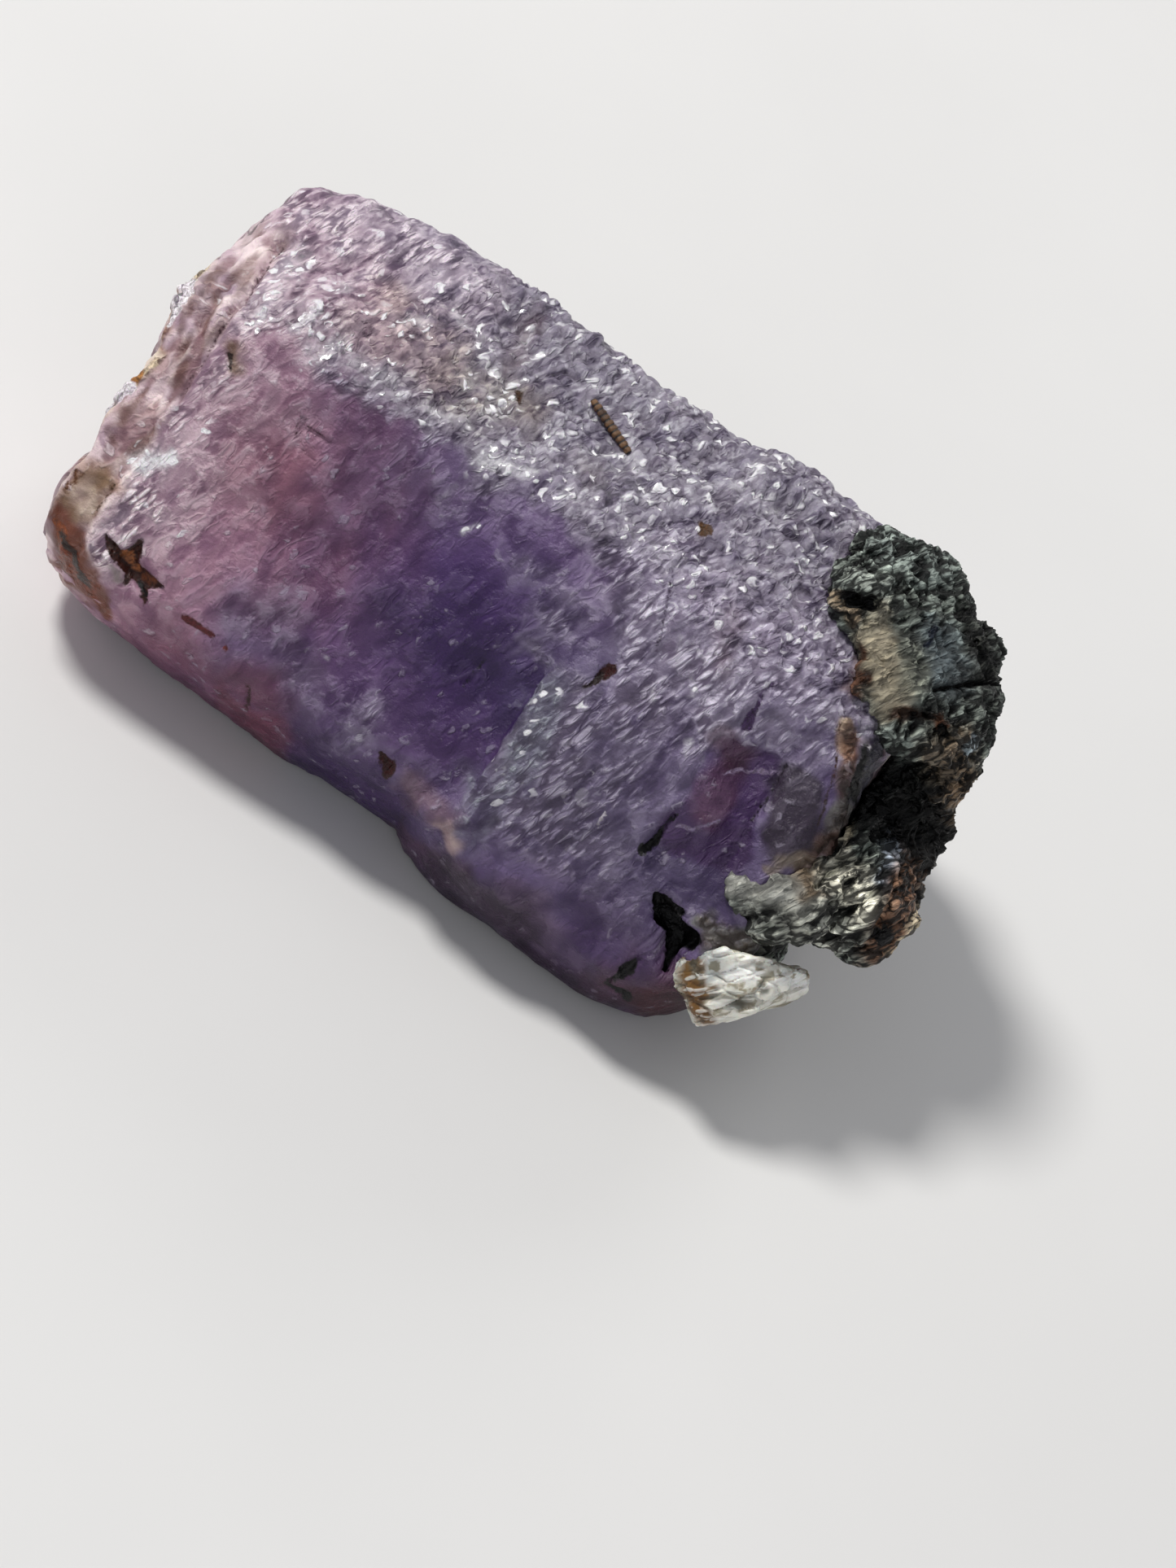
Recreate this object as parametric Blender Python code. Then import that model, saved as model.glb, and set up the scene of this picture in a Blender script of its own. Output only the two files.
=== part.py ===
"""Rough sapphire crystal: a stout six-sided prism that lies on one long face, host rock on one end.

x runs along the crystal, from its clean end to the end under the rock. y runs from front to back and
z up from the face that the crystal lies on. Shapes are worked out in millimetres, in a frame whose
y = z = 0 is the floor below the front edge, and the finished meshes are moved to the origin and
written in metres.
"""
import math

import bmesh
import bpy
from mathutils import Matrix, Vector, noise

MM = 0.001

# The prism, in millimetres: four driving side lengths, all corners 120 degrees
FRONT_SIDE = 7.45
TOP_SIDE = 5.4
BACK_LOWER_SIDE = 6.0
FRONT_LOWER_SIDE = 3.9
BACK_UPPER_SIDE = FRONT_SIDE + FRONT_LOWER_SIDE - BACK_LOWER_SIDE
BOTTOM_SIDE = FRONT_SIDE + TOP_SIDE - BACK_LOWER_SIDE
CORNER = math.radians(60)
EDGE_HEIGHT = FRONT_LOWER_SIDE * math.sin(CORNER)   # the front edge's height above the floor
CRYSTAL_HEIGHT = EDGE_HEIGHT + FRONT_SIDE * math.sin(CORNER)

# The crystal's length, and how its ends round over
CLEAN_END = -10.4
BROKEN_END = 8.9
CLEAN_BEVEL = 1.45        # length of the bevelled rim at the clean end
CLEAN_BEVEL_DEPTH = 1.25  # how far that rim falls in towards the end face
BROKEN_BEVEL = 1.1
LAMELLA_PITCH = 0.36      # the growth layers that step down that rim
LAMELLA_RISE = 0.07

# How each long edge strays from the perfect prism: (x, outward shift in y, shift in z)
EDGE_DRIFT = {
    "front edge": [(-9.0, 0.1, 0.15), (-5.0, 0, 0), (0.2, 0, 0), (2.6, -0.62, -1.08),
                   (6.5, -0.6, -1.05), (8.7, -0.3, -0.5)],
    "front crest": [(-9.8, 0.2, -0.8), (-7.4, 0, -0.12), (-2.0, 0, 0), (3.0, -0.1, 0.05),
                    (8.7, 0.1, -0.35)],
    "back crest": [(-10.4, -1.2, -1.1), (-9.4, -0.4, -0.4), (-7.4, 0.0, 0.02), (-5.0, 0.16, 0.18),
                   (-1.5, 0.12, 0.12), (-1.0, 0.02, 0.0), (1.6, 0.03, 0.04), (3.4, 0.15, 0.15),
                   (5.2, -0.02, -0.05), (8.7, -0.4, -0.35)],
    "back edge": [(-9.6, -1.0, 0.25), (-6.6, -0.3, 0), (-2.2, 0.12, 0.15), (0.4, -0.25, 0),
                  (4.4, 0.1, -0.25), (8.7, -0.9, 0.2)],
    "back foot": [(-9.6, -0.9, 0.8), (-7.4, -0.2, 0), (-3.0, 0.15, 0), (2.0, -0.25, 0),
                  (5.6, 0.1, 0), (8.7, -0.7, 0.6)],
    "front foot": [(-9.5, 0.2, 0.75), (-8.0, 0.1, 0.45), (-6.0, 0.12, 0), (0.35, -0.05, 0),
                   (0.95, -0.6, 0), (2.0, -1.2, 0), (4.0, -1.5, 0), (5.8, -1.55, 0),
                   (7.3, -1.1, 0), (8.7, -0.1, 0.35)],
}

# Wear and growth relief, in millimetres: how far it stands out, over what length
ROLL, ROLL_LENGTH = 0.13, 3.1
DIMPLE, DIMPLE_LENGTH = 0.06, 1.25
FROST, FROST_LENGTH = 0.05, 0.95      # rounded cells of the frosted surface, all over
FROST_ON_TOP, FROST_ON_BACK = 0.1, 0.09
LEDGE_X, LEDGE_RISE = 1.45, 0.2       # the front face steps up here, towards the broken end
BACK_LAYER, BACK_LAYER_RISE = 1.7, 0.1
TERRACE_WIDTH, TERRACE_DROP = 1.25, 0.11  # growth terraces of the clean end face
BROKEN_ROLL, BROKEN_ROLL_LENGTH = 0.3, 1.7

# Grain of the host rock and the chip
GRAIN_LENGTH = 1.15
GRAIN_STEP = 0.3
SEAM_WIDTH, SEAM_DEPTH = 0.2, 0.5
GRIT, GRIT_LENGTH = 0.12, 0.7

# Fineness of the wrought surface before it is thinned, and of the finished solids
RING_STEP = 0.17
STATION_STEP = 0.14
CAP_RINGS = 26
EDGE_ROUNDING_PASSES = 20
CRYSTAL_FACES = 5800
ROCK_FACES = 2500
CHIP_FACES = 420
POCKET_FACES = 300
LUMP_FINENESS = 0.2
GAP = 0.12                # clearance between the crystal and what grips it
WORN_FLAT = 0.14          # how much of the lowest roughness is worn to a flat


def ease(value, low, high):
    """0 below low, 1 above high, and a smooth slope between."""
    t = min(1.0, max(0.0, (value - low) / (high - low)))
    return t * t * (3 - 2 * t)


def drift(edge, x):
    """The (y, z) shift of a long edge at x, eased between its stations."""
    stations = EDGE_DRIFT[edge]
    if x <= stations[0][0]:
        return Vector(stations[0][1:])
    for (x0, *low), (x1, *high) in zip(stations, stations[1:]):
        if x <= x1:
            return Vector(low).lerp(Vector(high), ease(x, x0, x1))
    return Vector(stations[-1][1:])


def prism_corners():
    """The perfect prism's corners in y and z, in EDGE_DRIFT's order, round from the front edge."""
    sides = [FRONT_SIDE, TOP_SIDE, BACK_UPPER_SIDE, BACK_LOWER_SIDE, BOTTOM_SIDE]
    corner = Vector((0.0, EDGE_HEIGHT))
    corners = [corner.copy()]
    heading = CORNER
    for side in sides:
        corner = corner + side * Vector((math.cos(heading), math.sin(heading)))
        corners.append(corner)
        heading -= CORNER
    return corners


CORNERS = prism_corners()
SIDE_POINTS = [max(4, round((b - a).length / RING_STEP))
               for a, b in zip(CORNERS, CORNERS[1:] + CORNERS[:1])]


def section(x):
    """The crystal's outline at x: a six-sided ring of (y, z) points with softened corners."""
    corners = [c + drift(edge, x) for c, edge in zip(CORNERS, EDGE_DRIFT)]
    ring = []
    for start, end, points in zip(corners, corners[1:] + corners[:1], SIDE_POINTS):
        ring += [start.lerp(end, i / points) for i in range(points)]
    for _ in range(EDGE_ROUNDING_PASSES):
        ring = [(ring[i - 1] + 2 * ring[i] + ring[(i + 1) % len(ring)]) / 4 for i in range(len(ring))]
    return ring


FRONT_UP = Vector((0, math.cos(CORNER), math.sin(CORNER)))


def on_front(x, up):
    """A place on the front face, measured up the face from its lower edge."""
    return Vector((x, 0, EDGE_HEIGHT)) + up * FRONT_UP


def on_top(x, back):
    """A place on the top face, back from its front crest."""
    return Vector((x, FRONT_SIDE * math.cos(CORNER) + back, CRYSTAL_HEIGHT))


# Hollows in the crystal: (start, end, radius, depth). A swelling has a depth below zero.
HOLLOWS = [
    (on_front(6.4, 0.95), on_front(7.4, -0.1), 0.4, 0.3),       # dark cleft beside the chip
    (on_front(6.9, 0.5), on_front(7.3, 0.0), 0.5, 0.3),
    (on_front(-8.7, 0.95), on_front(-7.9, 0.8), 0.26, 0.14),    # star-shaped pit near the clean end
    (on_front(-7.95, 1.3), on_front(-7.85, 0.75), 0.26, 0.14),
    (on_front(-7.85, 0.8), on_front(-7.3, 0.5), 0.3, 0.14),
    (on_front(-7.8, 0.7), on_front(-7.65, 0.3), 0.26, 0.14),
    (on_front(-9.5, 0.4), on_front(-8.4, -0.1), 0.4, 0.16),     # rust-stained crease at the corner
    (on_front(-9.7, 2.1), on_front(-9.4, 1.2), 0.5, 0.2),       # stained scar on the bevelled rim
    (on_front(5.6, -0.6), on_front(4.2, -0.9), 0.9, 0.18),      # shallow dish above the lip
    (on_front(-4.6, 3.4), on_front(-4.0, 5.0), 1.6, 0.12),      # dishes that break up the front face
    (on_front(-6.2, 5.5), on_front(-5.6, 5.8), 0.8, 0.07),
    (on_front(6.4, 4.8), on_front(7.2, 2.9), 1.0, 0.24),        # scar where the rock has come away
    (on_front(1.6, 0.2), on_front(0.9, -0.2), 0.5, -0.28),      # knob where the lip begins
    (on_front(3.4, 6.9), on_front(6.6, 6.6), 1.3, -0.16),       # swelling along the crest
    (on_top(-8.4, 2.2), on_top(-6.6, 3.2), 1.3, 0.22),          # hollows of the frosted top
    (on_top(-1.1, 2.9), on_top(0.2, 2.4), 0.5, 0.14),
    (on_top(-3.4, 4.6), on_top(-2.6, 1.8), 0.9, 0.2),
    (on_top(1.8, 3.6), on_top(2.4, 5.6), 0.9, 0.18),
    (on_top(4.3, 2.4), on_top(5.2, 2.8), 0.9, -0.16),
    (Vector((-3.5, 12.6, 6.2)), Vector((0.6, 12.9, 4.6)), 2.2, 0.75),   # shell-shaped chip on the back
    (Vector((3.8, 12.0, 7.6)), Vector((5.4, 12.3, 6.4)), 1.2, 0.35),
    (Vector((-7.5, 10.8, 2.0)), Vector((-6.0, 11.0, 2.8)), 1.3, 0.4),
    (Vector((-10.6, 8.6, 6.6)), Vector((-10.6, 7.0, 3.2)), 1.0, -0.14),  # swellings of the end face
    (Vector((-10.6, 3.9, 8.4)), Vector((-10.6, 7.4, 8.2)), 0.9, -0.12),
    (Vector((-10.6, 1.6, 3.2)), Vector((-10.6, 3.4, 1.6)), 0.9, -0.14),
    (Vector((9.2, 4.6, 5.4)), Vector((9.2, 8.4, 3.4)), 1.7, 0.45),       # the broken end, under rock
]


def distance_to_stroke(point, start, end):
    """Distance from a point to the straight stretch between two others."""
    along = end - start
    t = min(1.0, max(0.0, (point - start).dot(along) / along.length_squared))
    return (point - (start + t * along)).length


def relief(point, normal):
    """How far the surface stands out from the plain prism at a point, in millimetres."""
    rise = ROLL * noise.noise(point / ROLL_LENGTH)
    rise += DIMPLE * noise.noise(point / DIMPLE_LENGTH + Vector((7, 3, 1)))
    front = ease(normal.y, -0.55, -0.8) * ease(normal.z, -0.05, 0.25)
    top = ease(normal.z, 0.8, 0.95)
    back = ease(normal.y, 0.3, 0.7)
    cell = noise.voronoi(point / FROST_LENGTH)[0][0] - 0.45
    rise += (FROST + FROST_ON_TOP * top + FROST_ON_BACK * back) * cell
    up = (point - on_front(point.x, 0)).dot(FRONT_UP)
    ledge_x = LEDGE_X + 0.12 * noise.noise(point / 0.8)
    rise += LEDGE_RISE * front * ease(point.x, ledge_x - 0.12, ledge_x + 0.12) * ease(up, 5.9, 4.4)
    layer = math.floor(point.z / BACK_LAYER + 0.3 * noise.noise(point / 4))
    rise += BACK_LAYER_RISE * back * noise.noise(Vector((layer * 3.7, point.x / 5, 0)))
    for start, end, radius, depth in HOLLOWS:
        near = 1 - (distance_to_stroke(point, start, end) / radius) ** 2
        if near > 0:
            rise -= depth * near * near
    end_face = ease(-normal.x, 0.7, 0.95)
    terrace = (point - Vector((CLEAN_END, 5.6, 5.9))).length / TERRACE_WIDTH
    terrace += 0.5 * noise.noise(point / 1.6)
    rise -= TERRACE_DROP * end_face * (math.floor(terrace) + ease(terrace % 1.0, 0.0, 0.3))
    rise += BROKEN_ROLL * ease(normal.x, 0.5, 0.9) * noise.noise(point / BROKEN_ROLL_LENGTH)
    return rise


def end_fall(x):
    """How far the outline has drawn in at x, over the bevelled rim of each end."""
    clean = max(0.0, (CLEAN_END + CLEAN_BEVEL - x) / CLEAN_BEVEL)
    broken = max(0.0, (x - BROKEN_END + BROKEN_BEVEL) / BROKEN_BEVEL)
    fall = CLEAN_BEVEL_DEPTH * (1 - math.sqrt(1 - min(1.0, clean) ** 2))
    step = (x - CLEAN_END) / LAMELLA_PITCH % 1.0
    fall += LAMELLA_RISE * (1 - ease(step, 0.0, 0.5)) * min(1.0, 4 * clean)
    return fall + BROKEN_BEVEL * (1 - math.sqrt(1 - min(1.0, broken) ** 2))


def crystal_rings():
    """Rings of points from the middle of the clean end, over the sides, to the broken end's middle."""
    def drawn_in(x, fall, share):
        ring = section(x)
        middle = sum(ring, Vector((0, 0))) / len(ring)
        out = []
        for p in ring:
            reach = (p - middle).length
            p = middle + (p - middle) * (reach - fall) / reach * share
            out.append(Vector((x, p.x, p.y)))
        return out

    count = round((BROKEN_END - CLEAN_END) / STATION_STEP)
    caps = [(i + 0.5) / CAP_RINGS for i in range(CAP_RINGS)]
    rings = [drawn_in(CLEAN_END, end_fall(CLEAN_END), share) for share in caps]
    for i in range(count + 1):
        x = CLEAN_END + (BROKEN_END - CLEAN_END) * i / count
        rings.append(drawn_in(x, end_fall(x), 1.0))
    rings += [drawn_in(BROKEN_END, end_fall(BROKEN_END), share) for share in reversed(caps)]
    return rings


def skin(name, rings):
    """A closed mesh object over rings of equal length, with a fan at each end."""
    shape = bmesh.new()
    rows = [[shape.verts.new(p) for p in ring] for ring in rings]
    around = len(rows[0])
    for low, high in zip(rows, rows[1:]):
        for i in range(around):
            j = (i + 1) % around
            shape.faces.new((low[i], low[j], high[j], high[i]))
    for row in (rows[0], rows[-1]):
        pole = shape.verts.new(sum((v.co for v in row), Vector()) / around)
        for i in range(around):
            shape.faces.new((row[i], row[(i + 1) % around], pole))
    bmesh.ops.recalc_face_normals(shape, faces=shape.faces)
    return object_from(name, shape)


def object_from(name, shape):
    """Puts a bmesh into a new object of the scene, and frees it."""
    mesh = bpy.data.meshes.new(name)
    shape.to_mesh(mesh)
    shape.free()
    made = bpy.data.objects.new(name, mesh)
    bpy.context.scene.collection.objects.link(made)
    return made


def reshape(thing, move):
    """Moves every vertex by what move(place, normal) returns."""
    shape = bmesh.new()
    shape.from_mesh(thing.data)
    shape.normal_update()
    shifts = [move(v.co.copy(), v.normal.copy()) for v in shape.verts]
    for vertex, shift in zip(shape.verts, shifts):
        vertex.co += shift
    shape.to_mesh(thing.data)
    shape.free()


def settle(thing):
    """Replaces a mesh by what its modifiers make of it."""
    evaluated = thing.evaluated_get(bpy.context.evaluated_depsgraph_get())
    mesh = bpy.data.meshes.new_from_object(evaluated)
    thing.modifiers.clear()
    thing.data = mesh


def thin(thing, faces):
    """Thins a mesh to about that many triangles, keeping them where the surface turns."""
    triangles = sum(len(p.vertices) - 2 for p in thing.data.polygons)
    modifier = thing.modifiers.new("thin", "DECIMATE")
    modifier.ratio = min(1.0, faces / triangles)
    modifier.use_collapse_triangulate = True
    settle(thing)


def cut(thing, *cutters):
    """Takes the cutters out of a solid, removes them, and keeps the largest piece that is left."""
    for cutter in cutters:
        cutter.hide_render = True
        cutter.display_type = "WIRE"
        modifier = thing.modifiers.new("cut", "BOOLEAN")
        modifier.operation = "DIFFERENCE"
        modifier.solver = "EXACT"
        modifier.object = cutter
    settle(thing)
    for cutter in cutters:
        bpy.data.objects.remove(cutter)
    shape = bmesh.new()
    shape.from_mesh(thing.data)
    waiting, pieces = set(shape.verts), []
    while waiting:
        edge, piece = [waiting.pop()], set()
        while edge:
            vertex = edge.pop()
            piece.add(vertex)
            linked = {e.other_vert(vertex) for e in vertex.link_edges} & waiting
            waiting -= linked
            edge += linked
        pieces.append(piece)
    largest = max(pieces, key=len)
    bmesh.ops.delete(shape, geom=[v for v in shape.verts if v not in largest], context="VERTS")
    bmesh.ops.triangulate(shape, faces=shape.faces)
    shape.to_mesh(thing.data)
    shape.free()


def swollen(thing, name):
    """A copy whose surface stands a gap outside the first, as a cutter for its neighbours."""
    copy = bpy.data.objects.new(name, thing.data.copy())
    bpy.context.scene.collection.objects.link(copy)
    reshape(copy, lambda place, normal: normal * GAP)
    return copy


def make_crystal():
    """The sapphire: the prism with its drifting edges, relief and one face worn flat to lie on."""
    crystal = skin("sapphire_crystal", crystal_rings())
    reshape(crystal, lambda place, normal: normal * relief(place, normal))
    thin(crystal, CRYSTAL_FACES)
    reshape(crystal, lambda place, normal: Vector((0, 0, max(0.0, WORN_FLAT - place.z))))
    return crystal


def lumps(name, places, grain):
    """One solid of overlapping lumps, each (centre, radii, turn about y), with a grainy surface."""
    shape = bmesh.new()
    for centre, radii, turn in places:
        stand = Matrix.Translation(centre) @ Matrix.Rotation(math.radians(turn), 4, "Y")
        stand = stand @ Matrix.Diagonal((*radii, 1.0))
        ball = bmesh.ops.create_icosphere(shape, subdivisions=3, radius=1.0)["verts"]
        for vertex in ball:
            reach = sum(abs(c) ** SQUARENESS for c in vertex.co) ** (1 / SQUARENESS)
            vertex.co = stand @ (vertex.co / reach)
    made = object_from(name, shape)
    modifier = made.modifiers.new("join", "REMESH")
    modifier.mode = "VOXEL"
    modifier.voxel_size = LUMP_FINENESS
    settle(made)
    reshape(made, lambda place, normal: normal * grain(place))
    return made


def rock_grain(place):
    """The host rock's blocky grains, each at its own height, and the seams between them."""
    distances, centres = noise.voronoi(place / GRAIN_LENGTH)
    seam = min(0.0, distances[1] - distances[0] - SEAM_WIDTH)
    block = noise.noise(centres[0] * 3.7)
    return GRIT * noise.noise(place / GRIT_LENGTH) + SEAM_DEPTH * seam + GRAIN_STEP * block


def from_view(x, high, near):
    """A place given as a viewer above the front sees it: high up the view, near towards the eye."""
    lean = math.sqrt(0.5)
    return Vector((x, lean * (high - near), lean * (high + near)))


# Lumps of the host rock: centre, radii along x, y and z, and turn about y in degrees
SQUARENESS = 2.9            # 2 would make every lump an ellipsoid; more squares it up
ROCK_LUMPS = [
    (from_view(7.25, 11.65, 1.6), (1.7, 2.0, 1.4), 12),     # crown over the top face
    (from_view(8.75, 10.5, 1.5), (1.6, 2.2, 1.75), 38),     # shoulder
    (from_view(8.2, 9.95, 3.1), (0.95, 1.1, 0.85), 42),     # pale boss on the front crest
    (from_view(9.7, 9.0, -0.6), (1.15, 2.2, 2.2), 8),       # flank behind the pocket
    (from_view(10.0, 9.7, 1.4), (0.75, 1.2, 1.2), 10),
    (from_view(10.2, 7.3, -0.9), (1.05, 1.6, 1.6), 0),
    (from_view(9.7, 6.0, 1.3), (1.55, 1.4, 1.3), -24),      # wedge below the pocket
    (from_view(8.45, 4.85, 2.75), (1.45, 0.95, 0.8), -22),  # its toe on the front face
    (from_view(10.6, 5.9, 0.7), (0.95, 1.3, 1.3), -10),
    (Vector((8.95, 6.4, 4.9)), (0.9, 4.1, 3.4), 0),         # crust over the broken end
    (from_view(9.1, 8.4, -3.4), (1.1, 1.9, 1.7), 0),
    (from_view(8.6, 4.3, -0.6), (0.85, 1.5, 1.4), 0),
    (from_view(7.6, 11.9, -1.2), (1.2, 1.4, 0.9), 10),      # crust on the back crest
    (from_view(8.1, 9.8, -4.2), (1.0, 0.9, 1.6), 0),
]
POCKET = [
    (from_view(9.55, 8.1, 3.4), (1.15, 1.7, 0.72), -8),
    (from_view(10.9, 7.9, 3.1), (1.0, 1.5, 0.55), -8),
]

# The feldspar chip's corners: (x, height in the view, nearness to the eye)
CHIP_CORNERS = [
    (7.35, 2.6, 2.7), (7.5, 1.9, 2.45), (8.6, 1.3, 2.0), (9.35, 2.0, 1.9), (10.5, 3.45, 1.8),
    (10.2, 3.85, 2.2), (9.0, 3.5, 3.15), (8.1, 3.25, 3.1), (8.5, 1.6, 2.7), (9.4, 2.4, 2.75),
    (7.9, 2.9, 0.4), (9.9, 3.4, 0.6), (8.6, 1.75, 0.5), (9.3, 3.5, 0.5),
]


def make_chip(crystal):
    """The pale wedge of feldspar that juts from the crystal's lower corner."""
    shape = bmesh.new()
    for corner in CHIP_CORNERS:
        shape.verts.new(from_view(*corner))
    bmesh.ops.convex_hull(shape, input=shape.verts)
    bmesh.ops.delete(shape, geom=[v for v in shape.verts if not v.link_faces], context="VERTS")
    bmesh.ops.subdivide_edges(shape, edges=shape.edges, cuts=5, use_grid_fill=True)
    bmesh.ops.triangulate(shape, faces=shape.faces)
    bmesh.ops.smooth_vert(shape, verts=shape.verts, factor=0.5, use_axis_x=True, use_axis_y=True,
                          use_axis_z=True)
    bmesh.ops.recalc_face_normals(shape, faces=shape.faces)
    chip = object_from("feldspar_chip", shape)
    reshape(chip, lambda place, normal: normal * GRIT * noise.noise(place / GRIT_LENGTH))
    thin(chip, CHIP_FACES)
    cut(chip, swollen(crystal, "crystal_cutter"))
    return chip


def make_rock(crystal, chip):
    """The host rock: grown-together lumps with a dark pocket, fitted to the crystal and the chip."""
    rock = lumps("host_rock", ROCK_LUMPS, rock_grain)
    thin(rock, ROCK_FACES)
    pocket = lumps("pocket_cutter", POCKET, lambda place: GRIT * noise.noise(place / GRIT_LENGTH))
    thin(pocket, POCKET_FACES)
    cut(rock, pocket, swollen(crystal, "crystal_cutter"), swollen(chip, "chip_cutter"))
    return rock


def paint(thing, colour, roughness):
    """Gives a piece its own plain material."""
    material = bpy.data.materials.new(thing.name)
    material.use_nodes = True
    surface = material.node_tree.nodes["Principled BSDF"]
    surface.inputs["Base Color"].default_value = (*colour, 1.0)
    surface.inputs["Roughness"].default_value = roughness
    surface.inputs["Metallic"].default_value = 0.0
    thing.data.materials.clear()
    thing.data.materials.append(material)


def place_in_row(things):
    """Centres the whole object over the origin with its lowest point at 0, and turns it to metres."""
    spots = [v.co for thing in things for v in thing.data.vertices]
    low = Vector(min(p[i] for p in spots) for i in range(3))
    high = Vector(max(p[i] for p in spots) for i in range(3))
    middle = Vector(((low.x + high.x) / 2, (low.y + high.y) / 2, low.z))
    for thing in things:
        thing.data.transform(Matrix.Scale(MM, 4) @ Matrix.Translation(-middle))
        thing.data.shade_smooth()
        thing.data.set_sharp_from_angle(angle=math.radians(32))


def main():
    for old in list(bpy.data.objects):
        bpy.data.objects.remove(old)
    crystal = make_crystal()
    chip = make_chip(crystal)
    rock = make_rock(crystal, chip)
    paint(crystal, (0.20, 0.14, 0.30), 0.45)
    paint(rock, (0.16, 0.17, 0.15), 0.75)
    paint(chip, (0.55, 0.50, 0.40), 0.6)
    place_in_row([crystal, rock, chip])


main()
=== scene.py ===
"""Looks of a rough sapphire crystal that carries host rock and a feldspar chip on one end.

Each solid of the frame gets a finely wrought copy of itself, worked in millimetres, with its own
frosting, grain, cracks and stains, and a procedural material. Places on the surface are given as a
viewer in front of and above the crystal sees them: u along the prism, v up the view and w towards
the eye, in millimetres.
"""
import itertools
import math
from types import SimpleNamespace

import bpy
import numpy as np
from bpy.props import FloatProperty, FloatVectorProperty, PointerProperty
from mathutils import Matrix, Vector


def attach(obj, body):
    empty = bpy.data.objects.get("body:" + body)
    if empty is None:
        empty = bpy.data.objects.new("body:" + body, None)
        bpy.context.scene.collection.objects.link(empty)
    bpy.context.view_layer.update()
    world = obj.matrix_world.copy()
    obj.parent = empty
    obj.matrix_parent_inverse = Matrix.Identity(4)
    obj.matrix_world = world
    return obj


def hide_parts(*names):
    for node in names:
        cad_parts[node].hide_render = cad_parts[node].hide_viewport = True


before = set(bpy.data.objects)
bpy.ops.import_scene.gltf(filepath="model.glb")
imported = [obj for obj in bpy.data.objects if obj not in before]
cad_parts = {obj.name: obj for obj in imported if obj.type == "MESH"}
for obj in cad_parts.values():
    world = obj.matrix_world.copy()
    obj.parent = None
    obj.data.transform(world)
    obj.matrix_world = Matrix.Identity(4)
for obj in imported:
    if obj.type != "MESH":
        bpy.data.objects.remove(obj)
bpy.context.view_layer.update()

bl_info = {
    "name": "Rough sapphire crystal",
    "version": (1, 0, 0),
    "blender": (4, 5, 0),
    "location": "View3D > Sidebar > Sapphire",
    "description": "Builds the surfaces of a rough sapphire crystal on its host rock",
    "category": "Object",
}

MM = 0.001
VIEW_LEAN = math.radians(45)                      # how steeply the viewer looks down
DIAGONAL = math.sqrt(0.5)                         # the share of a step up or back that this leaves
VIEW_SHIFT = Vector((0.6649, -3.3247, -3.7772))   # from the row's origin to the view's zero
PART_SHIFT = Vector((0.6649, 5.4817, 0.14))       # from the row's origin to the prism's own zero
TO_VIEWER = np.array((0, -DIAGONAL, DIAGONAL))

# The prism's six corners in its own frame (y, z), from the middle of the bottom round by the front
CORNERS = np.array([(5.375, 0.0), (1.95, 0.0), (0.0, 3.377), (3.725, 9.829), (9.125, 9.829),
                    (11.8, 5.196), (8.8, 0.0), (5.375, 0.0)])
AXIS = np.array((5.6, 4.9))
FRONT_EDGE_ARC = 7.325    # how far round from the middle of the bottom the front edge lies
CREST_ARC = 7.45          # from the front edge up to the crest
BACK_CREST_ARC = 12.85
LEDGE_U = 1.45            # where the front face steps up
SCALE_LEAN = math.radians(70)    # how the frosted scales lean from the prism's length
FIBRE_LEAN = math.radians(58)    # how the wedge's fibres lean in the view
CHIP_LEAN = math.radians(42)     # how the chip's cleavage leans in the view

SQUARE = 0.25             # width of the squares in which the foremost places are looked for
FAR_SIDE = -0.12          # faces turned further than this from the viewer are kept coarser
JOIN = 1e-6               # corners closer than this, in metres, are one
NOWHERE = 9.0             # how far off a place is that has no mark near it
OUTSIDE = 9.0             # w of a place that is nearer to the viewer than the whole crystal


def srgb(red, green, blue):
    """A colour given as it shows on a screen, 0 to 255, in the linear values that materials take."""
    return tuple(((c / 255 + 0.055) / 1.055) ** 2.4 if c > 10 else c / 255 / 12.92
                 for c in (red, green, blue))


# Places


def to_view(points):
    """u, v, w in millimetres of points given in millimetres of the row frame."""
    x, y, z = points.T
    return np.stack((x + VIEW_SHIFT.x, DIAGONAL * (y + z) + VIEW_SHIFT.y,
                     DIAGONAL * (z - y) + VIEW_SHIFT.z), axis=1)


def from_view(u, v, w):
    """The row-frame point in millimetres that the view sees at u, v and w."""
    v, w = v - VIEW_SHIFT.y, w - VIEW_SHIFT.z
    return Vector((u - VIEW_SHIFT.x, DIAGONAL * (v - w), DIAGONAL * (v + w)))


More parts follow.
